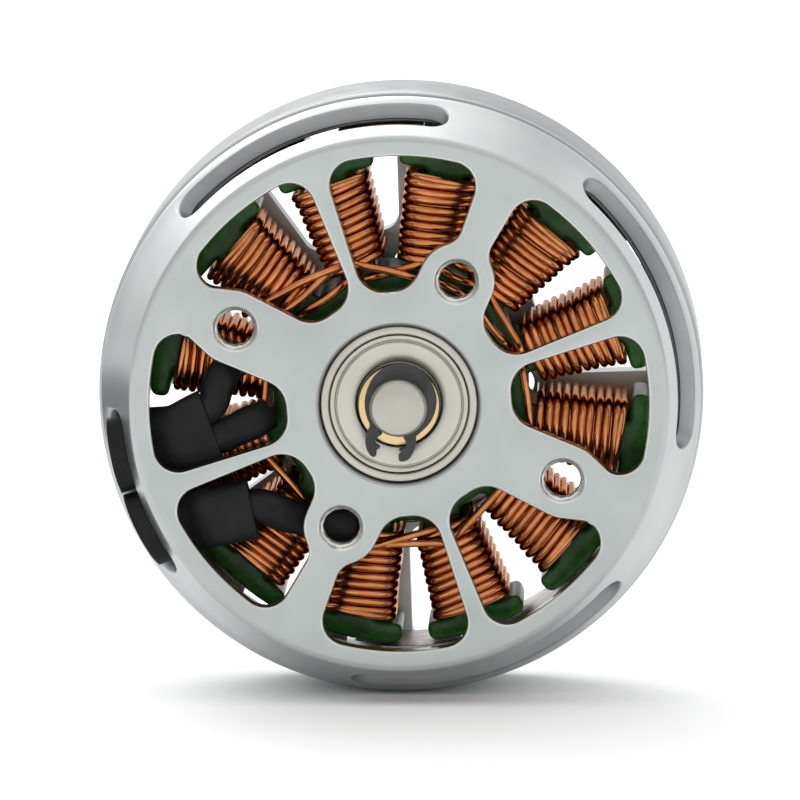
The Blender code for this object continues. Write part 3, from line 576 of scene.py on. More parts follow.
RIM_OUTER = [(18.30, 0.0), (18.48, 0.02), (18.62, 0.085), (18.72, 0.20), (18.80, 0.38),
             (20.73, 5.0), (20.88, 5.22), (20.93, 5.42), (20.93, 5.80), (20.85, 5.9)]
RIM_INNER = [(18.2, 1.6), (19.6, 5.0), (19.85, 5.5), (19.95, 5.9)]
SLOT_MIDDLE = 3.1
SLOT_HALF = 1.35
SLOT_ROUND = 0.13
SLOT_RADIUS = 20.0


def slot_columns(half_angle, grow, end_steps=10):
    """(angle from the slot's middle, half height) along one slot that is grown by a little."""
    half = SLOT_HALF + grow
    straight = half_angle - math.degrees(SLOT_HALF / SLOT_RADIUS)
    end = math.degrees(half / SLOT_RADIUS)
    columns = [(-straight - end * math.cos(math.pi / 2 * k / end_steps),
                half * math.sin(math.pi / 2 * k / end_steps)) for k in range(end_steps + 1)]
    steps = int(2 * straight / 1.5)
    columns += [(-straight + 2 * straight * k / steps, half) for k in range(1, steps)]
    columns += [(-angle, height) for angle, height in reversed(columns[:end_steps + 1])]
    return columns


def rim_wall(build, rim_paint, edge_paint):
    """The tapered wall behind the mounting plate, with its four slots."""
    build.paint = rim_paint
    slots = [(SPOKE_ANGLE + 90.0 * k, 17.7 if k == 2 else 29.8) for k in range(4)]
    columns = []
    spans = []
    for k, (centre, half_angle) in enumerate(slots):
        shape = slot_columns(half_angle, SLOT_ROUND)
        spans.append(range(len(columns), len(columns) + len(shape)))
        columns += [(centre + angle, height) for angle, height in shape]
        end = centre + shape[-1][0]
        next_centre, next_half = slots[(k + 1) % 4]
        start = next_centre + slot_columns(next_half, SLOT_ROUND)[0][0]
        start += 360.0 if start < end else 0.0
        steps = max(1, int((start - end) / 1.5))
        columns += [(end + (start - end) * m / steps, 0.0) for m in range(1, steps)]

    def chains(profile, fronts, backs):
        """For each column, the points in front of the slot and the points behind it."""
        lower, upper = [], []
        for angle, height in columns:
            levels = fronts + [SLOT_MIDDLE - height]
            low = build.add([at(between(profile, y), y, angle) for y in levels])
            levels = ([SLOT_MIDDLE + height] if height > 1e-9 else []) + backs
            high = build.add([at(between(profile, y), y, angle) for y in levels])
            lower.append(low)
            upper.append(high if height > 1e-9 else [low[-1]] + high)
        return lower, upper

    outer_low, outer_high = chains(RIM_OUTER, [y for _, y in RIM_OUTER[:5]],
                                   [y for _, y in RIM_OUTER[5:]])
    inner_low, inner_high = chains(RIM_INNER, [1.6], [5.0, 5.5, 5.9])
    for found in (outer_low, outer_high, inner_low, inner_high):
        for here, there in zip(found, found[1:] + found[:1]):
            for m in range(len(here) - 1):
                build.face(here[m], here[m + 1], there[m + 1], there[m])
    build.strip([c[-1] for c in outer_high], [c[-1] for c in inner_high])
    hidden = [build.add([at(18.0, y, angle) for angle, _ in columns]) for y in (0.5, 1.3)]
    build.loft([[c[0] for c in outer_low], *hidden, [c[0] for c in inner_low]])

    build.paint = edge_paint
    for (centre, half_angle), span in zip(slots, spans):
        loops = []
        for low, high in ((outer_low, outer_high), (inner_low, inner_high)):
            loops.append([low[k][-1] for k in span] + [high[k][0] for k in reversed(span)][1:-1])
        for grow, share in ((SLOT_ROUND * 0.3, 0.05), (0.0, 0.13), (0.0, 0.87)):
            half = slot_columns(half_angle, grow)
            ring = [(a, SLOT_MIDDLE - h) for a, h in half]
            ring += [(a, SLOT_MIDDLE + h) for a, h in reversed(half)][1:-1]
            spots = []
            for angle, y in ring:
                outer, inner = between(RIM_OUTER, y), between(RIM_INNER, y)
                spots.append(at(outer + (inner - outer) * share, y, centre + angle))
            loops.insert(-1, build.add(spots))
        build.loft(loops)


def threaded_hole(build, centre, end, segments=48):
    """The M3 thread inside one mounting hole: chamfer, crests and roots, then the exit."""
    crest, root, pitch, rows = 1.25, 1.47, 0.5, 44

    def thread_radius(depth, share):
        wave = abs(2 * ((depth / pitch - share) % 1.0) - 1)
        radius = crest + (root - crest) * min(1.0, max(0.0, 1.35 * wave - 0.15))
        return max(radius, 1.56 - 0.9 * (depth - 0.05), 1.5 - (end - depth))

    levels = [(0.3, 1.75), (0.0, 1.62), (0.05, 1.56)]
    levels += [(0.06 + (end - 0.12) * row / rows, None) for row in range(rows + 1)]
    levels += [(end, 1.62), (end - 0.3, 1.75)]
    rings = []
    for depth, radius in levels:
        ring = []
        for k in range(segments):
            share = k / segments
            x, y, z = at(radius or thread_radius(depth, share), depth, 360.0 * share)
            ring.append((centre.x + x, y, centre.y + z))
        rings.append(build.add(ring))
    build.loft(rings, closed=True)


def build_base():
    """The plate, its bosses, the rim and the bearing tube, all in one piece."""
    build = Build()
    face, rim, edge, thread, slot, seat = range(6)
    shapes = [(circle(18.3, segments=180), 0.0, 0.0, False, face)]
    for angle, radius in screw_places():
        for side in (1, -1):
            shapes.append((window_outline(side, angle, radius), 0.17, 0.12, True, edge))
    shapes.append((circle(5.77, segments=120), 0.0, 0.0, True, edge))
    for angle, radius in screw_places():
        shapes.append((circle(1.62, polar(radius, angle), 48), 0.0, 0.0, True, edge))
    add_plate(build, shapes, 0.0, PLATE)
    rim_wall(build, rim, slot)
    build.paint = seat
    build.lathe([(5.80, 0.12), (5.77, 0.0), (5.74, 0.008), (5.60, 0.07), (5.545, 0.13),
                 (5.52, 0.22), (5.52, 1.66), (5.80, 1.66)])
    build.paint = edge
    build.lathe([(5.9, 1.3), (7.0, 1.3), (7.0, 15.0), (6.85, 15.2), (5.75, 15.2), (5.52, 15.0),
                 (5.52, 11.1), (4.95, 11.1), (4.85, 11.0), (4.85, 4.6), (4.95, 4.5),
                 (5.52, 4.5), (5.52, 1.61), (5.9, 1.5)], 120)
    for angle, radius in screw_places():
        centre = polar(radius, angle)
        build.paint = edge
        build.lathe([(1.7, 1.3), (2.4, 1.3), (2.4, 1.92), (2.32, BOSS_END), (1.62, BOSS_END)], 48,
                    centre=centre)
        build.paint = thread
        threaded_hole(build, centre, BOSS_END)
    build.piece("mounting_base", [FACE, RIM, EDGE, THREAD, SLOT, SEAT], "stator",
                "blasted_aluminium", ["base"], sharp=28.0)


build_base()


# ---- bearings and shaft

def both_ends(half):
    """A profile along a bearing's width, from its front half."""
    return half + [(radius, BEARING_WIDTH - depth) for radius, depth in reversed(half)]


def shifted(profile, start):
    return [(radius, start + depth) for radius, depth in profile]


def cage_piece(which, start, body):
    """Seven polished balls in a crown cage whose ring wraps round the back of each ball."""
    build = Build()
    columns = 168
    spacing = 360.0 / 7
    loops = []
    for k in range(columns):
        angle = 360.0 * k / columns
        from_ball = abs((angle + spacing / 2) % spacing - spacing / 2)
        away = BALL_CIRCLE * math.radians(from_ball)
        front = 1.75
        if away < 0.76:
            front = 2.0 + math.sqrt(0.76 ** 2 - away ** 2)
        elif away < 0.9:
            front = 1.85
        section = [(3.45, front), (4.05, front), (4.08, front + 0.06), (4.08, 2.96), (4.02, 3.02),
                   (3.48, 3.02), (3.42, 2.96), (3.42, front + 0.06)]
        loops.append(build.add([at(radius, start + depth, angle) for radius, depth in section]))
    build.loft(loops, closed=True)
    build.paint = 1
    radius, middle = 0.72, start + BEARING_WIDTH / 2
    arc = [math.pi * k / 12 for k in range(13)]
    ball = [(radius * math.sin(turn), middle - radius * math.cos(turn)) for turn in arc]
    for k in range(7):
        build.lathe(ball, 20, closed=False, centre=polar(BALL_CIRCLE, spacing * k))
    build.piece(f"{which}_cage_with_balls", [CAGE, RING_STEEL], body, "cage_brass",
                [f"{which}_bearing_cage_and_balls"], sharp=32.0)


def build_bearing(which, start, cage_body):
    outer = Build()
    half = [(4.5, 0.75), (4.56, 0.62), (4.84, 0.58), (4.85, 0.36), (4.86, 0.12), (4.88, 0.06),
            (4.93, 0.015), (4.98, 0.0), (5.35, 0.0), (5.40, 0.02), (5.445, 0.07), (5.46, 0.16)]
    outer.lathe(shifted(both_ends(half), start))
    outer.piece(f"{which}_outer_ring", [RING_STEEL], "stator", "bearing_steel",
                [f"{which}_bearing_outer_ring"])

    inner = Build()
    half = [(3.0, 1.55), (2.99, 0.75), (2.80, 0.7), (2.77, 0.3), (2.72, 0.08), (2.64, 0.02),
            (2.2, 0.02), (2.12, 0.05), (2.07, 0.14)]
    inner.lathe(shifted(both_ends(half) + [(2.9, 2.2), (2.9, 1.8)], start), 120)
    inner.piece(f"{which}_inner_ring", [RING_STEEL], "rotor", "bearing_steel",
                [f"{which}_bearing_inner_ring"])

    shield = [(4.80, 0.50), (4.80, 0.26), (4.79, 0.15), (4.75, 0.11), (4.68, 0.11), (4.52, 0.16),
              (4.44, 0.19), (4.42, 0.24), (4.40, 0.30), (4.36, 0.30), (4.335, 0.20), (4.30, 0.13),
              (4.24, 0.11), (4.10, 0.12), (3.60, 0.14), (3.08, 0.14), (3.03, 0.17), (3.02, 0.32),
              (3.06, 0.36), (3.7, 0.38), (4.0, 0.42), (4.3, 0.50)]
    mirrored = [(radius, BEARING_WIDTH - depth) for radius, depth in reversed(shield)]
    for face, profile in (("front", shield), ("rear", mirrored)):
        build = Build()
        build.lathe(shifted(profile, start))
        build.piece(f"{which}_{face}_shield_disc", [SHIELD], "stator", "shield_steel",
                    [f"{which}_bearing_{face}_shield"], sharp=50.0)
    cage_piece(which, start, cage_body)


def smooth_loop(points, per_span, closed=True):
    """A curve through the points, each span cut into short steps."""
    if closed:
        points = points[-1:] + points + points[:2]
    else:
        points = points[:1] + points + points[-1:]
    curve = []
    for p0, p1, p2, p3 in zip(points, points[1:], points[2:], points[3:]):
        for step in range(per_span):
            t = step / per_span
            curve.append((p1 * 2 + (p2 - p0) * t + (p0 * 2 - p1 * 5 + p2 * 4 - p3) * t * t
                          + (p1 * 3 - p0 - p2 * 3 + p3) * t * t * t) * 0.5)
    return curve if closed else curve + points[-1:]


def build_shaft():
    shaft = Build()
    shaft.lathe([(0, -2.085), (0.12, -2.09), (0.3, -2.1), (1.72, -2.1), (1.79, -2.075),
                 (1.94, -1.90), (1.98, -1.79), (1.99, -1.70), (1.99, -0.86), (1.97, -0.83),
                 (1.72, -0.82), (1.70, -0.80), (1.70, -0.10), (1.72, -0.08), (1.97, -0.07),
                 (1.99, -0.04), (1.99, 19.86), (1.97, 19.95), (1.80, 20.14), (1.68, 20.2),
                 (0.4, 20.2), (0.3, 20.14), (0, 19.9)], closed=False)
    shaft.piece("motor_shaft", [SHAFT], "rotor", "ground_steel", ["shaft"], sharp=25.0)

    outside = [(-55, 2.39), (-33, 2.42), (-18, 2.50), (0, 2.60), (18, 2.70), (45, 2.86), (70, 2.94),
               (95, 2.93), (118, 2.76), (138, 2.58), (162, 2.41), (182, 2.34), (200, 2.33),
               (214, 2.40)]
    left_ear = [(-2.16, -1.78), (-2.30, -2.50), (-2.19, -3.02), (-1.95, -3.44), (-1.70, -3.54),
                (-1.54, -3.38), (-1.54, -3.06), (-1.30, -2.90), (-1.40, -2.74), (-1.60, -2.60),
                (-1.64, -2.34), (-1.30, -2.06), (-1.16, -1.94), (-1.36, -1.66)]
    inside = [polar(1.76, angle) for angle in range(220, -62, -15)]
    right_ear = [(0.52, -1.80), (0.32, -2.12), (0.47, -2.42), (0.53, -2.72), (0.42, -2.88),
                 (0.10, -2.98), (0.02, -3.08), (0.18, -3.20), (0.02, -3.40), (0.02, -3.74),
                 (0.22, -3.86), (0.70, -3.70), (1.02, -3.20), (1.18, -2.62), (1.22, -2.08)]
    outline = [polar(radius, angle) for angle, radius in outside]
    outline += [Vector(p) for p in left_ear] + inside + [Vector(p) for p in right_ear]
    clip = Build()
    clip.prism(smooth_loop(outline, 4), -0.74, -0.16, 0.04)
    clip.piece("snap_ring", [DARK], "rotor", "black_steel", ["circlip"], sharp=35.0)

    shim = Build()
    shim.lathe([(2.79, 0.0), (2.77, -0.03), (2.73, -0.04), (2.08, -0.04), (2.08, 0.29),
                (2.76, 0.29)], 120, closed=False)
    shim.paint = 1
    shim.lathe([(2.79, 0.0), (2.79, 0.25), (2.76, 0.29)], 120, closed=False)
    shim.piece("shim_washer", [BRASS, DARK], "rotor", "shim_brass", ["brass_shim"])


build_bearing("front", 0.4, "front_cage")
build_bearing("rear", 11.2, "rear_cage")
build_shaft()


# ---- stator

def tooth_angle(number):
    return TOOTH_PHASE + 360.0 * number / TOOTH_COUNT


def stator_outline():
    """Twelve T-shaped teeth round a hub, with soft corners."""
    half = [(polar(8.9, -15.0), 0.0), (polar(8.9, -12.0), 0.0), (Vector((8.75, -1.3)), 0.5),
            (Vector((15.9, -1.3)), 0.3), (Vector((15.9, -3.36)), 0.45), (polar(TOOTH_TIP, -11.7), 0.6)]
    half += [(polar(TOOTH_TIP, angle), 0.0) for angle in (-8.9, -6.0, -3.0)]
    rest = [(Vector((p.x, -p.y)), radius) for p, radius in reversed(half[1:])]
    corners = []
    for tooth in range(TOOTH_COUNT):
        turned = Matrix.Rotation(math.radians(tooth_angle(tooth)), 2)
        corners += [(turned @ p, radius) for p, radius in half + [(polar(TOOTH_TIP, 0.0), 0.0)] + rest]
    return rounded(corners, 20.0)


def build_stator():
    outline = stator_outline()
    bore = circle(7.2, segments=96)
    for end, front, back, front_rim, back_rim in (("front", 4.86, CORE_FRONT, 0.34, 0.0),
                                                  ("rear", CORE_BACK, 12.14, 0.0, 0.34)):
        coat = Build()
        add_plate(coat, [(outline, front_rim, back_rim, False, 0),
                         (bore, front_rim * 0.7, back_rim * 0.7, True, 0)], front, back)
        coat.piece(f"{end}_coat", [GREEN], "stator", "green_epoxy", [f"{end}_insulation"],
                   sharp=60.0)

    core = Build()
    add_plate(core, [(outline, 0.0, 0.0, False, 0), (bore, 0.0, 0.0, True, 0)], CORE_FRONT,
              CORE_BACK)
    # The tips of the teeth and the bore show the bare sheets.
    for index, face in enumerate(core.faces):
        reach = [math.hypot(core.points[n][0], core.points[n][2]) for n in face]
        if min(reach) > 17.38 or max(reach) < 7.4:
            core.paints[index] = 1
    core.piece("lamination_stack", [GREEN, SHEETS], "stator", "lamination_steel", ["stator_core"])


WIRE = 0.285
PITCH = 0.59
FIRST_TURN = 9.62
TURNS = 11


def coil_half_width(radius):
    share = (radius - FIRST_TURN) / (PITCH * (TURNS - 1))
    return 1.93 + 0.62 * share


def turn_path(radius, half_width, front, back, slope, bow, steps):
    """One turn of wire round a tooth along +X, as (radius, depth, across) points."""
    front_side, back_side, squareness = 5.05, 11.95, 0.93
    path = []
    for way, near, far, end, step_out, rise in ((1, front_side, back_side, front, slope, bow),
                                                (-1, back_side, front_side, back, 0.0, 0.0)):
        for k in range(steps):
            turn = math.pi * (k + 0.5) / steps
            across = math.copysign(abs(math.cos(turn)) ** squareness, way * math.cos(turn))
            height = math.sin(turn) ** squareness
            path.append((radius + slope * (1 - across) / 2 + rise * height,
                         near + (end - near) * height, half_width * across))
        path += [(radius + step_out, near + (far - near) * k / 4, -way * half_width)
                 for k in range(1, 4)]
    return path


def build_coils():
    chance = random.Random(12)
    for tooth in range(TOOTH_COUNT):
        build = Build()
        turn = math.radians(tooth_angle(tooth))
        along = Vector((math.cos(turn), 0.0, math.sin(turn)))
        aside = Vector((-math.sin(turn), 0.0, math.cos(turn)))
        lean = 0.55 + 0.35 * chance.random()
        for layer in range(2):
            count = TURNS if layer == 0 else TURNS - 1
            for number in range(count):
                radius = FIRST_TURN + PITCH * (number + 0.5 * layer)
                radius += chance.uniform(-0.03, 0.03)
                width = coil_half_width(radius) - 0.5 * layer + chance.uniform(-0.05, 0.04)
                front = 3.60 + 0.48 * layer + chance.uniform(-0.04, 0.07)
                slope = PITCH * lean + chance.uniform(-0.05, 0.05)
                if number == count - 1:
                    radius, slope = radius - 0.1, 0.1
                path = turn_path(radius, width, front, 13.40 - 0.48 * layer, slope,
                                 chance.uniform(-0.05, 0.07), 14 if layer == 0 else 8)
                build.tube([along * r + aside * across + Vector((0, depth, 0))
                            for r, depth, across in path], WIRE, 10 if layer == 0 else 6,
                           closed=True)
        build.piece(f"winding_{tooth + 1:02d}", [COPPER], "stator", "enamelled_copper",
                    [f"coil_{tooth + 1:02d}"], sharp=80.0)


TOP = 3.42
# Each wire between the coils, by the (angle, radius, depth) stops that it goes through.
CROSSOVERS = [
    [(338, 9.9, 5.0), (343, 9.45, 3.9), (349, 9.18, TOP), (360, 8.86, TOP), (371.3, 8.73, TOP),
     (378, 8.75, 3.9), (383, 8.9, 4.6)],
    [(14, 8.9, 4.7), (19, 9.0, 3.8), (24.3, 9.07, TOP), (36, 9.12, TOP - 0.05), (48.4, 9.46, TOP),
     (54, 9.8, 3.9), (58, 10.2, 5.0)],
    [(22, 8.4, 4.6), (26, 8.3, 3.9), (29.8, 8.20, 3.5), (37, 8.05, 3.46), (44.4, 8.14, 3.5),
     (50, 8.3, 3.9), (55, 8.5, 4.6)],
    [(74, 8.5, 4.6), (79, 8.45, 3.8), (83.3, 8.52, TOP), (95, 8.98, TOP), (107.1, 9.76, TOP),
     (112, 10.2, 3.8), (116, 10.6, 4.9)],
    [(73, 9.7, 5.0), (78, 9.5, 3.9), (83.2, 9.36, TOP + 0.1), (92, 8.92, 3.9), (100.0, 8.68, 4.0),
     (106, 8.6, 4.4)],
    [(107, 9.7, 5.0), (111, 9.95, 3.8), (115.3, 10.13, TOP), (130, 10.62, TOP - 0.04),
     (143.8, 11.38, TOP), (149, 11.9, 3.6), (152, 12.3, 4.4)],
    [(112, 10.0, 4.9), (118, 9.95, 3.8), (123.6, 9.95, TOP), (134, 9.78, TOP), (144.1, 10.06, TOP),
     (150, 10.3, 3.8), (154, 10.6, 4.9)],
    [(108, 9.2, 4.8), (114, 8.95, 3.8), (119.7, 8.75, TOP), (127, 8.66, TOP), (133.7, 8.81, TOP),
     (140, 9.0, 3.8), (145, 9.3, 4.8)],
    [(160, 9.3, 4.8), (166, 9.35, 3.7), (171.8, 9.41, TOP), (178, 9.42, TOP), (183.8, 9.57, TOP),
     (189, 9.8, 3.7), (193, 10.1, 4.8)],
    [(196, 10.5, 4.9), (201, 10.2, 3.8), (205.9, 10.03, TOP), (216, 9.72, TOP), (226.8, 9.76, TOP),
     (232, 9.9, 3.8), (237, 10.2, 4.9)],
    [(250, 10.8, 4.9), (256, 10.6, 3.8), (261.0, 10.44, TOP), (272, 9.78, TOP), (284.6, 9.48, TOP),
     (290, 9.4, 3.8), (295, 9.4, 4.8)],
    [(255, 10.6, 4.9), (261, 10.45, 3.8), (266.2, 10.30, TOP), (276, 10.25, TOP - 0.05),
     (285.7, 10.53, TOP), (290, 10.7, 3.7), (294, 10.9, 4.8)],
    [(283, 10.6, 4.9), (288, 10.45, 3.8), (293.7, 10.27, TOP), (307, 9.62, TOP), (320.2, 9.44, TOP),
     (326, 9.5, 3.8), (331, 9.7, 4.9)],
    [(56, 8.5, 4.5), (62, 8.4, 4.1), (70, 8.45, 4.2), (76, 8.6, 4.6)],
    [(50, 9.7, 4.9), (58, 9.4, 4.1), (66, 9.25, 3.9), (74, 9.5, 4.3), (79, 9.8, 5.0)],
    [(55, 10.4, 5.1), (63, 10.1, 4.5), (70, 10.15, 4.5), (77, 10.4, 5.1)],
    [(233, 8.9, 4.6), (240, 8.7, 4.1), (248, 8.75, 4.1), (254, 8.9, 4.6)],
]


def build_crossovers():
    build = Build()
    for stops in CROSSOVERS:
        spots = [Vector(at(radius, depth, angle)) for angle, radius, depth in stops]
        build.tube(smooth_loop(spots, 7, closed=False), WIRE)
    build.piece("crossover_wires", [COPPER], "stator", "enamelled_copper",
                ["crossover_wire_a", "crossover_wire_b", "crossover_wire_c"], sharp=80.0)


build_stator()
build_coils()
build_crossovers()


# ---- leads

LEAD_REACH = 20.5
# Stations of (x, z, depth, half width, half height) along each sleeve and tube.
LEADS = {
    "lead_sleeve_ab": [
        (-13.2, -1.7, 2.05, 2.60, 1.15), (-15.1, -2.4, 1.95, 2.35, 1.20),
        (-16.3, -2.8, 2.5, 2.35, 1.1), (-17.2, -3.1, 2.9, 2.45, 1.12),
        (-18.4, -3.6, 3.10, 2.6, 1.22), (-20.9, -4.3, 3.12, 2.75, 1.3)],
    "lead_sleeve_c": [
        (-10.3, -7.5, 1.95, 2.25, 1.2), (-12.9, -8.05, 1.95, 2.2, 1.2),
        (-14.4, -8.4, 2.6, 2.25, 0.95), (-15.6, -8.65, 2.9, 2.4, 1.1),
        (-16.8, -8.95, 3.10, 2.6, 1.22), (-19.3, -9.75, 3.12, 2.75, 1.3)],
    "lead_tube_a": [
        (-13.9, -1.15, 2.1, 1.05, 0.85), (-13.22, -0.45, 2.1, 1.1, 0.92),
        (-12.85, 0.1, 2.1, 1.1, 0.95), (-12.65, 0.95, 2.1, 1.15, 0.95),
        (-12.3, 1.75, 2.25, 1.15, 0.9), (-11.7, 2.4, 2.65, 1.1, 0.62),
        (-11.1, 2.7, 2.75, 1.05, 0.55)],
    "lead_tube_b": [
        (-13.6, -2.7, 2.1, 1.05, 0.9), (-12.45, -2.55, 2.1, 1.15, 0.97),
        (-11.3, -2.05, 2.1, 1.2, 1.0), (-10.1, -1.5, 2.2, 1.2, 0.9),
        (-9.1, -1.0, 2.7, 1.1, 0.7)],
    "lead_tube_c": [
        (-11.0, -7.55, 2.05, 1.15, 0.95), (-9.7, -7.4, 2.1, 1.2, 0.98),
        (-8.6, -7.75, 2.15, 1.25, 0.95), (-7.4, -8.2, 2.5, 1.2, 0.8),
        (-6.2, -8.5, 2.72, 1.2, 0.6), (-4.8, -8.75, 2.74, 1.3, 0.58),
        (-3.0, -8.9, 2.74, 1.3, 0.55)],
}


def lead_rings(build, stations, mouth, wall, seed, square):
    """A soft oval tube. A mouth folds its near end inwards, so that the wall's edge shows."""
    chance = random.Random(seed)
    phases = [chance.uniform(0, math.tau) for _ in range(6)]
    middles = smooth_loop([Vector((x, y, z)) for x, z, y, _, _ in stations], 9, closed=False)
    sizes = smooth_loop([Vector((wide, high)) for _, _, _, wide, high in stations], 9,
                        closed=False)
    segments = 44
    last = len(middles) - 1

    def ring_at(index, shrink=0.0, extra=0.0):
        run = (middles[min(index + 1, last)] - middles[max(index - 1, 0)]).normalized()
        across = Vector((-run.z, 0, run.x)).normalized()
        up = run.cross(across).normalized()
        if up.y < 0:
            up = -up
        middle = middles[index] + run * extra
        size = sizes[index]
        ring = []
        for step in range(segments):
            turn = math.tau * step / segments
            c = math.copysign(abs(math.cos(turn)) ** square, math.cos(turn))
            s = math.copysign(abs(math.sin(turn)) ** square, math.sin(turn))
            wave = 0.022 * math.sin(3 * turn + phases[0] + index * 0.11)
            wave += 0.018 * math.sin(5 * turn + phases[1] - index * 0.17)
            wave += 0.020 * math.sin(index * 0.45 + phases[2]) * math.sin(2 * turn + phases[3])
            spread = 1.0 - shrink / size.x + wave
            level = 1.0 - shrink / size.y + wave
            spot = middle + across * (size.x * c * spread) + up * (size.y * s * level)
            reach = math.hypot(spot.x, spot.z)
            if reach > LEAD_REACH:
                spot = Vector((spot.x * LEAD_REACH / reach, spot.y, spot.z * LEAD_REACH / reach))
            ring.append(spot)
        return build.add(ring)

    rings = build.loft([ring_at(index) for index in range(last + 1)])
    near = [(0, 0.2, -0.06), (0, 0.6, -0.08), (0, 0.95, -0.03), (1, 1.0, 0.0), (5, 1.05, 0.0),
            (12, 1.1, 0.0)]
    far = [(last, 0.2, 0.04), (last, 0.7, 0.05), (last, 1.0, 0.0), (last - 5, 1.1, 0.0)]
    for start, lips in ((rings[0], near if mouth else []), (rings[-1], far)):
        folds = [start] + [ring_at(index, wall * share, extra) for index, share, extra in lips]
        build.loft(folds)
        build.face(*folds[-1])


def build_leads():
    for number, (name, stations) in enumerate(LEADS.items()):
        build = Build()
        sleeve = name.startswith("lead_sleeve")
        lead_rings(build, stations, sleeve, 0.28 if sleeve else 0.15, number + 3,
                   0.86 if sleeve else 0.95)
        build.piece(name.replace("lead_", "shrink_"), [RUBBER], "stator", "heat_shrink", [name],
                    sharp=70.0)


def build_sockets():
    """Three gold bullet sockets, each with a turned lip and a waist."""
    profile = [(0.0, 0.5), (0.52, 0.52), (0.55, 0.6), (0.55, 1.86), (0.60, 1.96), (0.68, 2.0),
               (0.78, 2.0), (0.86, 1.96), (0.89, 1.88), (0.89, 1.62), (0.84, 1.56), (0.84, 1.40),
               (0.89, 1.34), (0.89, 0.12), (0.82, 0.0), (0.0, 0.0)]
    depth, length = 3.12, 2.0
    for before, end, letters in ((Vector((-18.4, -3.75)), Vector((-19.75, -4.25)), "ab"),
                                 (Vector((-16.8, -8.95)), Vector((-18.0, -9.25)), "c")):
        run = (end - before).normalized()
        across = Vector((-run.y, run.x))
        for index, letter in enumerate(letters):
            offset = 1.1 * (2 * index - 1) if len(letters) == 2 else 0.0
            build = Build()
            build.spin(profile, run, depth, 40, end + across * offset - run * length)
            build.piece(f"gold_socket_{letter}", [GOLD], "stator", "gold_plate",
                        [f"bullet_socket_{letter}"], sharp=35.0)


build_leads()
build_sockets()


# ---- rotor

def bell_window(centre):
    half = 22.5 - 5.3
    reach = 19.5 / math.cos(math.radians(7.0))
    middle = 19.5 / math.cos(math.radians(half - 7.0))
    return rounded([(polar(reach, centre - half), 1.5), (polar(middle, centre), 19.5),
                    (polar(reach, centre + half), 1.5), (polar(10.9, centre + half), 1.2),
                    (polar(10.9, centre - half), 1.2)])


def bell_cutters():
    """Eight windows, four propeller holes and two grub screw seats."""
    for arm in range(8):
        window = Build()
        window.prism(bell_window(ARM_PHASE + 45.0 * (arm + 0.5)), 13.75, 19.0)
        yield window
    for k in range(4):
        hole = Build()
        hole.lathe([(0, 15.0), (1.25, 15.0), (1.25, 17.45), (1.6, 17.8), (2.0, 18.2), (0, 18.2)],
                   40, closed=False, centre=polar(8.0, ARM_PHASE + 90.0 * k))
        yield hole
    for k in range(2):
        run = polar(1.0, ARM_PHASE + 90.0 * k)
        seat = Build()
        seat.tube([(run.x * r, GRUB_DEPTH, run.y * r) for r in (2.05, 3.0, 4.0, 5.2)], 1.02, 32)
        yield seat


def bell_piece():
    """The rotor can: a turned blank whose windows, holes and grub screw seats are then cut."""
    blank = Build()
    blank.lathe([(21.03, 6.17), (21.12, 6.26), (21.15, 6.4), (21.15, 15.2), (21.08, 15.38),
                 (18.82, 16.86), (18.62, 16.97), (18.4, 17.0), (10.62, 17.0), (10.5, 17.03),
                 (10.44, 17.12), (10.4, 17.25), (10.4, 17.55), (10.3, 17.74), (10.1, 17.8),
                 (4.9, 17.8), (4.7, 17.86), (4.6, 18.05), (4.6, 19.95), (4.5, 20.12),
                 (4.34, 20.2), (2.3, 20.2), (2.1, 20.05), (2.1, 15.3), (2.9, 15.3), (2.9, 15.5),
                 (10.4, 15.5), (10.4, 14.6), (18.8, 14.6), (20.0, 14.1), (20.15, 13.98),
                 (20.15, 6.25), (20.2, 6.17)], 216)
    can = added("rotor_can", mesh_of(blank, "rotor_can"))
    for cutter in bell_cutters():
        tool = added("cut", mesh_of(cutter, "cut"))
        modifier = can.modifiers.new("cut", "BOOLEAN")
        modifier.operation = "DIFFERENCE"
        modifier.solver = "EXACT"
        modifier.object = tool
        bpy.context.view_layer.update()
        cut = can.evaluated_get(bpy.context.evaluated_depsgraph_get())
        mesh = bpy.data.meshes.new_from_object(cut)
        can.modifiers.clear()
        can.data = mesh
        bpy.data.objects.remove(tool)
    bpy.data.objects.remove(can)
    mesh.materials.clear()
    mesh.materials.append(BELL)
    mesh.polygons.foreach_set("material_index", [0] * len(mesh.polygons))
    place("rotor_can", mesh, "rotor", ["bell"], 28.0)


def build_grub_screws():
    """Cup-point grub screws with a hexagonal socket, sunk in the pilot."""
    profile = [(0.0, 2.3), (0.5, 2.22), (0.62, 2.2), (0.93, 2.5)]
    profile += [(0.93 - 0.07 * (k % 2), 2.5 + 0.17 * k) for k in range(1, 10)]
    profile += [(0.93, 4.15), (0.80, 4.34), (0.62, 4.36)]
    socket = [(0.53, 4.33), (0.5, 4.28), (0.5, 3.4), (0.0, 3.3)]
    for number in (1, 2):
        run = polar(1.0, ARM_PHASE + 90.0 * (number - 1))
        build = Build()
        outside = build.spin(profile, run, GRUB_DEPTH, 36)
        inside = build.spin(socket, run, GRUB_DEPTH, 36, sides=6)
        build.strip(outside[-1], inside[0])
        build.piece(f"grub_{number}", [DARK], "rotor", "black_steel", [f"grub_screw_{number}"],
                    sharp=30.0)


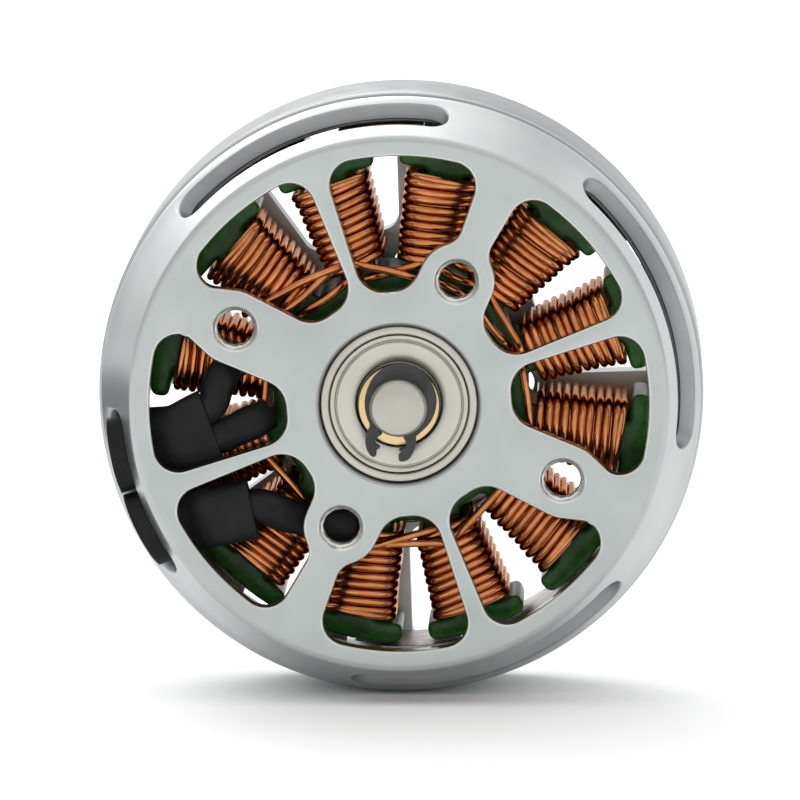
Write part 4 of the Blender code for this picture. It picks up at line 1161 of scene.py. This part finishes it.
def build_magnets():
    ring = Build()
    ring.lathe([(19.07, 6.5), (19.15, 6.42), (19.95, 6.42), (20.03, 6.5), (20.03, 13.65),
                (19.95, 13.73), (19.15, 13.73), (19.07, 13.65)], 216)
    ring.piece("steel_flux_ring", [FLUX], "rotor", "lamination_steel", ["flux_ring"])
    for number in range(14):
        centre = 17.2 + 360.0 * number / 14
        outline = [polar(18.93, centre + 9.1 * (k / 5 - 1)) for k in range(11)]
        outline += [polar(17.97, centre + 9.1 * (1 - k / 5)) for k in range(11)]
        build = Build()
        build.prism(outline, 6.62, 13.58, 0.09)
        build.piece(f"arc_magnet_{number + 1:02d}", [NICKEL], "rotor", "magnet_nickel",
                    [f"magnet_{number + 1:02d}"], sharp=35.0)


bell_piece()
build_grub_screws()
build_magnets()


# ---- studio

def stage_sheet(name, corners, paint):
    mesh = bpy.data.meshes.new(name)
    mesh.from_pydata(corners, [], [(0, 1, 2, 3)])
    mesh.materials.append(paint.material)
    sheet = added(name, mesh)
    return sheet


def aimed(name, data, spot, target):
    """A lamp or a camera that looks at a target."""
    thing = added(name, data)
    thing.location = spot
    thing.rotation_euler = (Vector(target) - Vector(spot)).to_track_quat("-Z", "Y").to_euler()
    return thing


def build_floor():
    paper = Paint("paper", base_color=(0.96, 0.96, 0.96), roughness=0.85, specular_ior_level=0.1)
    paper.colour(mixed(paper, 40.0, (0.95, 0.95, 0.95), (0.965, 0.965, 0.965)))
    half = 2.5
    level = (FLOOR - 0.02) * MM
    stage_sheet("floor", [(-half, -half, level), (half, -half, level), (half, half, level),
                          (-half, half, level)], paper)
    # A low grey card to the left that only reflections show, for the dark side of the rim.
    grey = Paint("grey_paper", base_color=(0.16, 0.175, 0.20), roughness=0.8)
    left, near, far, top = -0.075, 0.02, 0.14, -0.003
    card = stage_sheet("grey_card", [(left, near, level), (left, far, level), (left, far, top),
                                     (left, near, top)], grey)
    card.visible_camera = card.visible_diffuse = card.visible_shadow = False


def build_sky():
    """An even white sky with soft glows, each (toward, start, end, extra strength).

    The start and the end are cosines of the angle from the middle of the glow.
    """
    world = bpy.data.worlds.new("studio")
    bpy.context.scene.world = world
    world.use_nodes = True
    sky = Nodes(world.node_tree)
    where = sky.add("ShaderNodeTexCoord").outputs["Generated"]
    strength = 0.825
    for toward, start, end, extra in (((0.0, -1.0, 0.0), 0.2, 1.0, 0.17),
                                      ((0.0, 0.0, 1.0), 0.45, 0.9, 0.35),
                                      ((-0.20, 0.60, 0.775), 0.76, 0.98, 0.75),
                                      ((-0.55, 0.66, 0.51), 0.85, 0.98, 0.7),
                                      ((0.68, 0.68, 0.27), 0.85, 0.98, 0.6)):
        along = sky.add("ShaderNodeVectorMath", operation="DOT_PRODUCT")
        sky.feed(where, along.inputs[0])
        sky.feed(toward, along.inputs[1])
        glow = sky.ramp(along.outputs["Value"], start, end, 0.0, extra, "SMOOTHSTEP")
        strength = sky.math("ADD", strength, glow)
    background = sky.tree.nodes["Background"]
    sky.feed(strength, background.inputs["Strength"])
    sky.feed((1.0, 1.0, 1.0), background.inputs["Color"])


def build_lamps():
    for name, spot, size, power in (("top_softbox", (-0.22, 0.75, 0.64), (0.6, 0.3), 2.0),
                                    ("left_softbox", (-0.52, 0.76, 0.46), (0.16, 0.3), 0.5)):
        light = bpy.data.lights.new(name, "AREA")
        light.shape = "RECTANGLE"
        light.size, light.size_y = size
        light.energy = power
        aimed(name, light, spot, (0, 0, 0))


def build_camera():
    elevation, azimuth, distance = math.radians(7.7), math.radians(1.447), 0.6
    aim = Vector((0.00008, 0.0, 0.00035))
    camera = bpy.data.cameras.new("camera")
    camera.sensor_width = 36.0
    camera.lens = 390.0
    camera.clip_start = 0.01
    camera.clip_end = 20.0
    toward = Vector((math.sin(azimuth) * math.cos(elevation),
                     -math.cos(azimuth) * math.cos(elevation), math.sin(elevation)))
    scene = bpy.context.scene
    scene.camera = aimed("camera", camera, aim + distance * toward, aim)
    scene.view_settings.view_transform = "Standard"


build_floor()
build_sky()
build_lamps()
build_camera()
